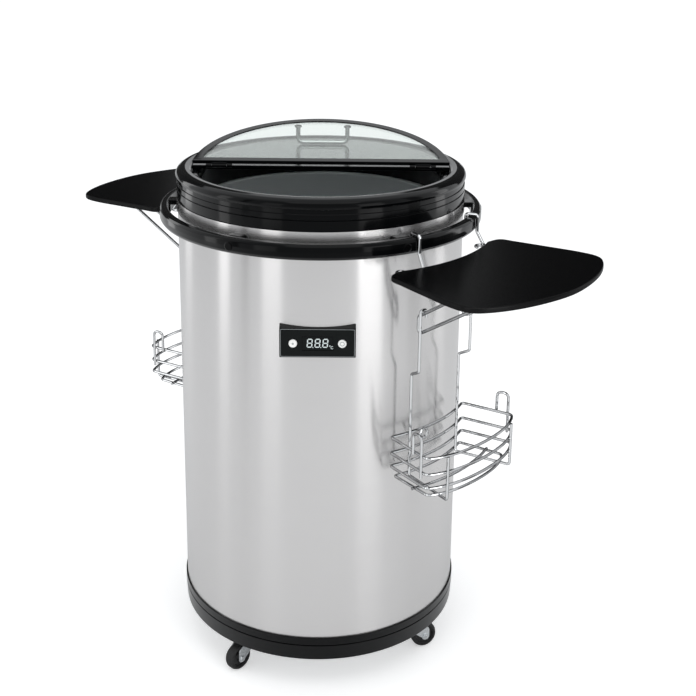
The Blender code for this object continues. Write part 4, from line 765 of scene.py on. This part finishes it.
# Tempered soda-lime glass 4 mm thick: clear with a faint green cast.
glass = finish("tempered_glass", "#EEF4F1", 0.02, grain=(60.0, 0.05, 0.01), IOR=1.52,
               Transmission_Weight=0.97)


def half_disc(radius, straight):
    """Outline of a half disc in front of the line y = -straight."""
    steps = 72
    reach = acos(straight / radius)
    return [(radius * sin(reach * (2 * i / steps - 1)), -radius * cos(reach * (2 * i / steps - 1)))
            for i in range(steps + 1)]


def half_lid(straight):
    """Frame and pane of one half, closed, with the arc towards the front."""
    outer = half_disc(LID, straight)
    inner = half_disc(LID - 0.0120, straight + 0.0120)
    seat = half_disc(LID - 0.0090, straight + 0.0090)
    frame_mesh = placed(plate([outer, inner[::-1]], 0.0055, 0.0007, 2),
                        at(0.0, 0.0, LID_FOOT + 0.00275))
    rebate = placed(plate([seat], 0.0080), at(0.0, 0.0, LID_TOP))
    frame_mesh = cut(frame_mesh, [rebate])
    pane = placed(plate([half_disc(LID - 0.0093, straight + 0.0093)], 0.0036, 0.0004, 2),
                  at(0.0, 0.0, LID_TOP - 0.0018))
    return frame_mesh, pane


turn_back = spun(pi)
fixed_frame, fixed_pane = half_lid(0.0123)
piece("rear_frame", placed(fixed_frame, turn_back), gloss_abs, "cabinet", ("rear_lid_frame",))
piece("rear_pane", placed(fixed_pane, turn_back), glass, "cabinet", ("rear_lid_glass",))

parts = [placed(plate([rounded_box(0.3806, 0.0240, 0.002, 3)], 0.0062, 0.0009, 3),
                at(0.0, 0.0, LID_FOOT + 0.0031))]
HINGE_PIN = 0.0013
KNUCKLE = 0.0031
EAR, EYE = 0.0080, 0.0220


def knuckle(start, length):
    """A hinge knuckle across the lid from here on, bored for its pin with a running gap."""
    bore = HINGE_PIN + GAP
    ring = turned([(bore, length), (KNUCKLE, length, 0.0005), (KNUCKLE, 0.0, 0.0005),
                   (bore, 0.0)], 32)
    return placed(ring, at(start, HINGE.y, HINGE.z) @ quarter("Y"))


def web(middle, away, length, deep):
    """The flat web that holds a knuckle, its middle this far behind the hinge line."""
    return placed(plate([rounded_box(length, deep, 0.0004, 1)], KNUCKLE, 0.0003, 1),
                  at(middle, HINGE.y + away, 0.7450))


eyes = []
for middle in (-0.150, 0.150):
    for end in (-1, 1):
        start = middle + end * 0.0113 + (0.0 if end > 0 else -EAR)
        parts += [knuckle(start, EAR), web(start + EAR / 2, 0.0026, EAR, 0.0053)]
    eyes += [knuckle(middle - EYE / 2, EYE), web(middle, -0.00245, EYE, 0.0049)]
piece("hinge_bar", joined(parts), gloss_abs, "cabinet", ("lid_bar",))

# Half the handle's width, how far it stands in front of the lid's middle, its wire's radius.
HANDLE = (0.0390, 0.1660, 0.0034)
glass_top = LID_TOP + GAP
crest = glass_top + 0.0305 - HANDLE[2]
reach = HANDLE[1] + HINGE.y
rise = crest - HINGE.z
drop = LID_TOP + GAP + HANDLE[2] - HINGE.z
tip = asin(drop / hypot(reach, rise)) + atan2(rise, reach)
folded = Matrix.Translation(HINGE) @ Matrix.Rotation(tip - pi, 4, "X") @ Matrix.Translation(-HINGE)
swing_frame, swing_pane = half_lid(0.0189)
piece("front_frame", placed(joined([swing_frame] + eyes), folded), gloss_abs, "front_lid",
      ("front_lid_frame",))
piece("front_pane", placed(swing_pane, folded), glass, "front_lid", ("front_lid_glass",))

# Bent wire: a round section is carried along every drawn line, with its ends closed.
bent_wire, start = node_tool("bent_wire", Wire_Radius="Float", Facets="Int")
line = add(bent_wire, "GeometryNodeMeshToCurve", {"Mesh": start.outputs["Geometry"]})
section = add(bent_wire, "GeometryNodeCurvePrimitiveCircle", {
    "Resolution": start.outputs["Facets"], "Radius": start.outputs["Wire Radius"]}, mode="RADIUS")
swept = add(bent_wire, "GeometryNodeCurveToMesh", {
    "Curve": line, "Profile Curve": section, "Fill Caps": True})
ended(bent_wire, start, swept)


def bend(points, radius, steps=5):
    """A wire's line with each corner between its ends rounded to a bending radius."""
    made = [points[0]]
    for before, here, after in zip(points, points[1:], points[2:]):
        if (before - here).angle(after - here) > radians(172.0):
            made.append(here)
        else:
            made += rounded(before, here, after, radius, steps, 0.48)
    return made + [points[-1]]


def wires(lines, radius, facets=12):
    """All these lines as round chromed wires in one mesh; a line is (points, closed)."""
    points, edges = [], []
    for line, closed in lines:
        first = len(points)
        points += line
        edges += [(first + i, first + i + 1) for i in range(len(line) - 1)]
        if closed:
            edges.append((first + len(line) - 1, first))
    mesh = bpy.data.meshes.new("lines")
    mesh.from_pydata(points, edges, [])
    return grown(mesh, bent_wire, {"Wire Radius": radius, "Facets": facets, "Material": chrome})


# Chrome plate on drawn wire: cold, bright and mirror-like, slightly soft at the welds.
chrome = finish("chrome_plated_wire_painted_dark_flanks", "#D6D8DB", 0.09, 1.0, grain=(9.0, 0.01, 0.04))
# Painted reflection: the wire's colour runs from pale in its middle to dark grey on its flanks,
# turned away from the eye, painted in for the darker room that a round wire mirrors.
tinted(chrome, turned_away(chrome, 0.15, 0.68), "#E8E9EA", "#303236")
legs = bend([Vector((x, -HANDLE[1], z)) for x, z in (
    (-HANDLE[0], glass_top), (-HANDLE[0], crest), (HANDLE[0], crest), (HANDLE[0], glass_top))],
    0.0085, steps=10)
bow = [wires([(legs, False)], HANDLE[2], 24)]
foot = turned([(0.0, 0.0030), (0.0036, 0.0030, 0.0004), (0.0044, 0.0016, 0.0006),
               (0.0058, 0.0012, 0.0006), (0.0058, 0.0), (0.0, 0.0)], 32)
bow += [placed(foot, at(x, -HANDLE[1], glass_top)) for x in (-HANDLE[0], HANDLE[0])]
piece("bow_handle", placed(joined(bow), folded), chrome, "front_lid", ("lid_handle",))

# ------------------------------------------------------------------ display
# The thermostat sits in a moulded housing on the barrel's front: a sloping top, a dark panel
# with a fine line round it, three lit digits behind a smoked window and two round buttons.
FACE = -0.2165
LEVEL = 0.5480
# Smoked acrylic: almost black, mirror-smooth.
smoked = finish("smoked_acrylic", "#0A0E0E", 0.12, grain=(30.0, 0.02, 0.02), IOR=1.49,
                Specular_IOR_Level=0.15)
# Printed overlay film: blackish green-grey, fine matt.
film = finish("printed_overlay_film", "#0A0E0E", 0.30, grain=(0.8, 0.01, 0.04), IOR=1.50,
              Specular_IOR_Level=0.15)
# Screen-printed grey ink.
ink = finish("grey_printed_line", "#8B9091", 0.45, grain=(0.6, 0.01, 0.05), IOR=1.48)
# Pale grey ink on the buttons.
pale_ink = finish("pale_grey_ink", "#B4B8B8", 0.45, grain=(0.6, 0.01, 0.05), IOR=1.48)
# Light from the segments: cool white, evenly spread behind the film.
lit = finish("lit_segments", "#C9D2D2", 0.40, grain=(1.5, 0.005, 0.05), IOR=1.48,
             Emission_Color=linear("#C9D2D2"), Emission_Strength=0.25)
# Silicone-soft white ABS: warm white, satin.
button_white = finish("white_moulded_abs", "#F8F8F6", 0.34, grain=(1.5, 0.02, 0.04), IOR=1.50)

side_view = corners([(FACE, 0.5275, 0.0016), (FACE, 0.5688, 0.0016),
                     (FACE + 0.0119, 0.5745, 0.0014), (FACE + 0.0119, 0.5275, 0.0014)], 3)
housing = placed(plate([side_view], 0.1040, 0.0012, 3), quarter("Z") @ quarter("X"))
BUTTONS = (-0.0335, 0.0335)


def to_front(x=0.0, proud=0.0, level=LEVEL):
    """From Z up to facing the front, at a place on the display's face."""
    return at(x, FACE - proud, level) @ quarter("X")


def hollows(width, height, thick, radius):
    """What is cut out for the window and for the two buttons."""
    return [placed(plate([rounded_box(width, height, 0.0008, 2)], thick), to_front())] \
        + [placed(rod(radius, 0.03), to_front(x, -0.02)) for x in BUTTONS]


barrel_face = placed(rod(BARREL + GAP, 0.1, ROUND), at(0.0, 0.0, 0.50))
housing = cut(housing, [barrel_face] + hollows(0.0420, 0.0200, 0.0026, 0.0061))
piece("display_case", housing, gloss_abs, "cabinet", ("display_housing",))
window = plate([rounded_box(0.0414, 0.0194, 0.0008, 2)], 0.0010, 0.0002, 1)
piece("smoked_window", placed(window, to_front(0.0, -0.0005)), smoked, "cabinet",
      ("display_window",))


def on_face(outlines, proud=0.00012, thick=0.00016):
    """A thin sheet on the display's face, drawn as seen from the front."""
    return placed(plate(outlines, thick), to_front(0.0, proud, 0.0))


def shifted(outline, x, z):
    """An outline, moved."""
    return [(a + x, b + z) for a, b in outline]


def round_spot(radius):
    """Outline of a small round spot."""
    return [(cos(pi / 8 * i) * radius, sin(pi / 8 * i) * radius) for i in range(16)]


middle = 0.5488
frame_line = [shifted(rounded_box(0.1010, 0.0396, 0.0020), 0.0, middle),
              shifted(rounded_box(0.0998, 0.0384, 0.0016), 0.0, middle)[::-1]]
piece("printed_line", on_face(frame_line, 0.0002, 0.0002), ink, "cabinet")
panel = on_face([shifted(rounded_box(0.0978, 0.0364, 0.0012), 0.0, middle)], 0.00015, 0.0003)
piece("overlay_film", cut(panel, hollows(0.0424, 0.0204, 0.004, 0.0064)), film, "cabinet")

# Seven-segment digits: each bar is a slim hexagon, slanted 5 degrees with its digit.
bars = []
wide, tall, half_thick = 0.0031, 0.0057, 0.00075
for x, z, stands in ((0.0, tall, False), (0.0, 0.0, False), (0.0, -tall, False),
                     (-wide, tall / 2, True), (wide, tall / 2, True), (-wide, -tall / 2, True),
                     (wide, -tall / 2, True)):
    long = (tall / 2 if stands else wide) - 0.0003
    short = long - half_thick
    outline = [(-long, 0.0), (-short, -half_thick), (short, -half_thick), (long, 0.0),
               (short, half_thick), (-short, half_thick)]
    bars.append([(x - b, z + a) if stands else (x + a, z + b) for a, b in outline])
segments = [on_face([[(x + z * tan(radians(5.0)) + centre, z + LEVEL + 0.0006)
                      for x, z in outline]])
            for centre in (-0.0106, 0.0, 0.0106) for outline in bars]
# A decimal point at the foot of the first two digits.
segments += [on_face([shifted(round_spot(0.0007), centre + 0.0044, LEVEL - 0.0056)])
             for centre in (-0.0106, 0.0)]
# The degree sign and the C beside the digits.
segments.append(on_face([shifted(round_spot(0.00095), 0.0168, LEVEL - 0.0034),
                         shifted(round_spot(0.00050)[::-1], 0.0168, LEVEL - 0.0034)]))
sweep = [radians(45.0 + 270.0 * i / 20) for i in range(21)]
letter = [(0.00210 * cos(t), 0.00210 * sin(t)) for t in sweep]
letter += [(0.00145 * cos(t), 0.00145 * sin(t)) for t in sweep[::-1]]
segments.append(on_face([shifted(letter, 0.0199, LEVEL - 0.0056)]))
piece("lit_digits", joined(segments), lit, "cabinet")
for x, word in zip(BUTTONS, ("left", "right")):
    ring = [(0.0, 0.0014), (0.0019, 0.0014, 0.0003), (0.0022, 0.0010, 0.0003),
            (0.0034, 0.0010, 0.0003), (0.0037, 0.0015, 0.0003), (0.0050, 0.0016, 0.0008),
            (0.0058, 0.0006, 0.0008), (0.0058, -0.0034), (0.0, -0.0034)]
    # A pale grey sign is printed on each: a spot on the left one, a ring on the right one.
    near, out, level = 0.0023, 0.0033, 0.00105
    if word == "left":
        ring = [(0.0, 0.0012)] + ring[5:]
        near, out, level = 0.0, 0.0019, 0.00125
    sign = [(near, level + 0.00008), (out, level + 0.00008), (out, level), (near, level)]
    piece("push_button_" + word, placed(turned(ring, 48), to_front(x)), button_white,
          word + "_button", ("button_" + word,))
    piece("button_sign_" + word, placed(turned(sign, 40), to_front(x)), pale_ink,
          word + "_button")

# ------------------------------------------------------------------ trays
# Each tray is a rounded triangle of board with a moulded black skin that wraps its bullnose
# edge. Its inner edge follows the rail.
# Black moulded skin: nearly matt with a fine leather-like grain.
skinned = finish("grained_black_skin", "#030304", 0.30, grain=(1.4, 0.02, 0.05), IOR=1.50)
flanks(skinned, 0.20, 0.03)
TRAY = 0.2575
TRAY_TURN = radians(22.0)
outline = [(TRAY * 0.9985 * cos(TRAY_TURN * i / 16), TRAY * 0.9985 * sin(TRAY_TURN * i / 16))
           for i in range(-16, 17)]
free_side = [(TRAY + out * 0.1875, across * 0.1500) for out, across in (
    (-0.075, 0.80), (0.060, 0.85), (0.30, 0.92), (0.54, 0.985), (0.70, 0.985), (0.80, 0.88),
    (0.90, 0.64), (0.97, 0.33), (1.0, 0.0))]
free_side += [(x, -y) for x, y in free_side[-2::-1]]


def flowing(knots, start, end):
    """A smooth line through knots, from one given point to another."""
    steps = 6
    line = [start] + knots + [end]
    made = []
    for i in range(1, len(line) - 2):
        p = [Vector(q) for q in line[i - 1:i + 3]]
        for k in range(steps):
            t = k / steps
            spot = 0.5 * ((2 * p[1]) + (p[2] - p[0]) * t + (2 * p[0] - 5 * p[1] + 4 * p[2] - p[3])
                          * t * t + (3 * p[1] - p[0] - 3 * p[2] + p[3]) * t ** 3)
            made.append((spot.x, spot.y))
    made.append(tuple(line[-2]))
    return made


outer_side = flowing([outline[-1]] + free_side + [outline[0]], outline[-2], outline[1])
board = placed(plate([outline[:-1] + outer_side[:-1]], 0.0080, 0.0022, 4), at(0.0, 0.0, 0.6540))


def both_sides(name, mesh, material, carrier, node):
    """The same mesh as a piece on the right and on the left."""
    for word, turn in (("right", -43.0), ("left", 137.0)):
        piece(name + word, placed(mesh, spun(radians(turn))), material,
              "%s_%s_set" % (carrier, word), (node + word,))


both_sides("board_", board, skinned, "tray", "tray_")

# ------------------------------------------------------------------ tray brackets
# Each bracket is welded from chromed wire: a rim wire curled at both ends under the tray's inner
# edge, two hooks that climb over the rail, and two struts that fold back to the barrel.
WIRE = 0.0024
BITE = 0.0009
STRUT_TURN = radians(12.0)
STRUT_DROP, STRUT_REACH, STRUT_FOOT = 0.0660, 0.0900, 0.2400
rim_radius = TRAY * 0.9975 - GAP - WIRE
arm_level = 0.6500 - GAP - WIRE
rim_level = arm_level + 2 * WIRE - BITE


def polar(radius, turn, height):
    """A place by its radius, bearing and height."""
    return Vector((radius * cos(turn), radius * sin(turn), height))


def bent_at(turn, radius, places):
    """A wire bent in the upright plane at a bearing, through places (radius, height)."""
    return bend([polar(out, turn, height) for out, height in places], radius), False


lines = []
end_turn = radians(20.5)
rim_line = [polar(rim_radius, end_turn * (i / 12 - 1), rim_level) for i in range(25)]
back = -Vector((cos(end_turn), sin(end_turn), 0.0))
along = Vector((-sin(end_turn), cos(end_turn), 0.0))
# The curls are as wide as lets them pass the rail when the tray is lifted off.
curl_radius = (rim_radius - WIRE - RAIL_OUTER - 2 * GAP) / 2
curl = [rim_line[-1] + back * curl_radius * (1 - cos(2 * pi * i / 24)) + along * curl_radius
        * sin(2 * pi * i / 24) for i in range(1, 18)]
lines.append(([Vector((p.x, -p.y, p.z)) for p in curl[::-1]] + rim_line + curl, False))
inside = RAIL_INNER * 0.9972 - GAP - WIRE
beyond = RAIL_OUTER + GAP + WIRE
over = RAIL_TOP + GAP + WIRE
for turn in (radians(-12.8), radians(21.5)):
    lines.append(bent_at(turn, 0.0038, (
        (inside, over - 0.0120), (inside, over), (beyond, over), (beyond, RAIL_TOP - RAIL_TALL),
        (rim_radius - BITE, rim_level))))
nose = arm_level - STRUT_DROP
for turn in (-STRUT_TURN, STRUT_TURN):
    lines.append(bent_at(turn, 0.0060, (
        (rim_radius - WIRE, arm_level), (rim_radius + 0.1360, arm_level),
        (STRUT_FOOT, nose - 0.0260), (STRUT_FOOT, nose),
        (rim_radius + STRUT_REACH, arm_level - BITE))))
both_sides("bracket_", wires(lines, WIRE), chrome, "tray", "tray_bracket_")

# ------------------------------------------------------------------ baskets
# Each basket is welded from thinner chromed wire: four rings that follow the barrel inside and
# bow out in front, two hangers that hook on the struts, a floor wire, end loops and an eye.
THIN = 0.0021
HANG, STEP_IN = 0.2500, 0.0165
# The rings' front bows in by this much at its ends.
BOW = 0.0080
deep, high = 0.0880, 0.0610
inner_radius = HANG - STEP_IN - 2 * THIN + BITE
hang_turn = STRUT_TURN + (WIRE + 2 * GAP + THIN) / HANG
inner_half, outer_half = radians(20.6), radians(18.4)
run = rim_radius + STRUT_REACH - STRUT_FOOT
strut_here = nose + (STRUT_DROP - BITE) * (HANG - STRUT_FOOT) / run
hook_top = strut_here + (WIRE + GAP + THIN) * hypot(STRUT_DROP, run) / run
step_level = strut_here - 0.0840
basket_top = step_level - 0.0980
floor_level = basket_top - high
lines = []
for share in (0.0, 0.39, 0.72, 1.0):
    inset = 0.0100 if share == 1.0 else 0.0
    trim = inset / (inner_radius + deep)
    level = basket_top - share * high
    back_line = [polar(inner_radius, (inner_half - trim) * (i / 8 - 1), level) for i in range(17)]
    front_line = [polar(inner_radius + deep - inset - BOW * abs(i / 8 - 1) ** 4,
                        -(outer_half - trim) * (i / 8 - 1), level) for i in range(17)]
    ring = back_line + front_line
    made = []
    for i, corner in enumerate(ring):
        if i in (0, 16, 17, 33):
            made += bend([ring[i - 1], corner, ring[(i + 1) % 34]], 0.0080)[1:-1]
        else:
            made.append(corner)
    lines.append((made, True))
under = floor_level - THIN * 2 + BITE
share = hang_turn / outer_half
front = inner_radius + deep - BOW * share ** 4 + 2 * THIN - BITE
tip_turn = 2 * STRUT_TURN - hang_turn
for side in (-1, 1):
    hanger = [polar(radius, side * turn, level) for radius, turn, level in (
        (HANG, tip_turn, hook_top - 0.0120), (HANG, tip_turn, hook_top),
        (HANG, hang_turn, hook_top), (HANG, hang_turn, step_level),
        (HANG - STEP_IN, hang_turn, step_level - 0.0080), (HANG - STEP_IN, hang_turn, under),
        (front, hang_turn, under), (front, hang_turn, basket_top))]
    lines.append((bend(hanger, 0.0044), False))
lines.append(([polar(inner_radius + deep / 2, outer_half * (i / 6 - 1), floor_level)
               for i in range(13)], False))
up = Vector((0.0, 0.0, 1.0))
for side in (-1, 1):
    near = polar(inner_radius + deep - BOW, side * outer_half, 0.0)
    away = polar(inner_radius, side * inner_half, 0.0)
    along = (away - near).normalized()
    aside = Vector((-along.y, along.x, 0.0)) * side * (BITE - 2 * THIN)
    a = near + along * 0.0080 + aside
    b = a + along * 0.0180
    lines.append((bend([a + up * (basket_top - high / 2), a + up * (basket_top + 0.0300),
                        b + up * (basket_top + 0.0300), b + up * (basket_top - THIN)], 0.0085,
                       steps=8), False))
turn = -hang_turn / 2
centre = polar(inner_radius * cos(turn) + 2 * THIN - BITE, turn, basket_top - 0.0070)
aside = Vector((-sin(turn), cos(turn), 0.0))
lines.append(([centre + aside * 0.0070 * cos(pi * i / 10) + up * 0.0070 * sin(pi * i / 10)
               for i in range(20)], True))
both_sides("bottle_basket_", wires(lines, THIN, 10), chrome, "basket", "basket_")
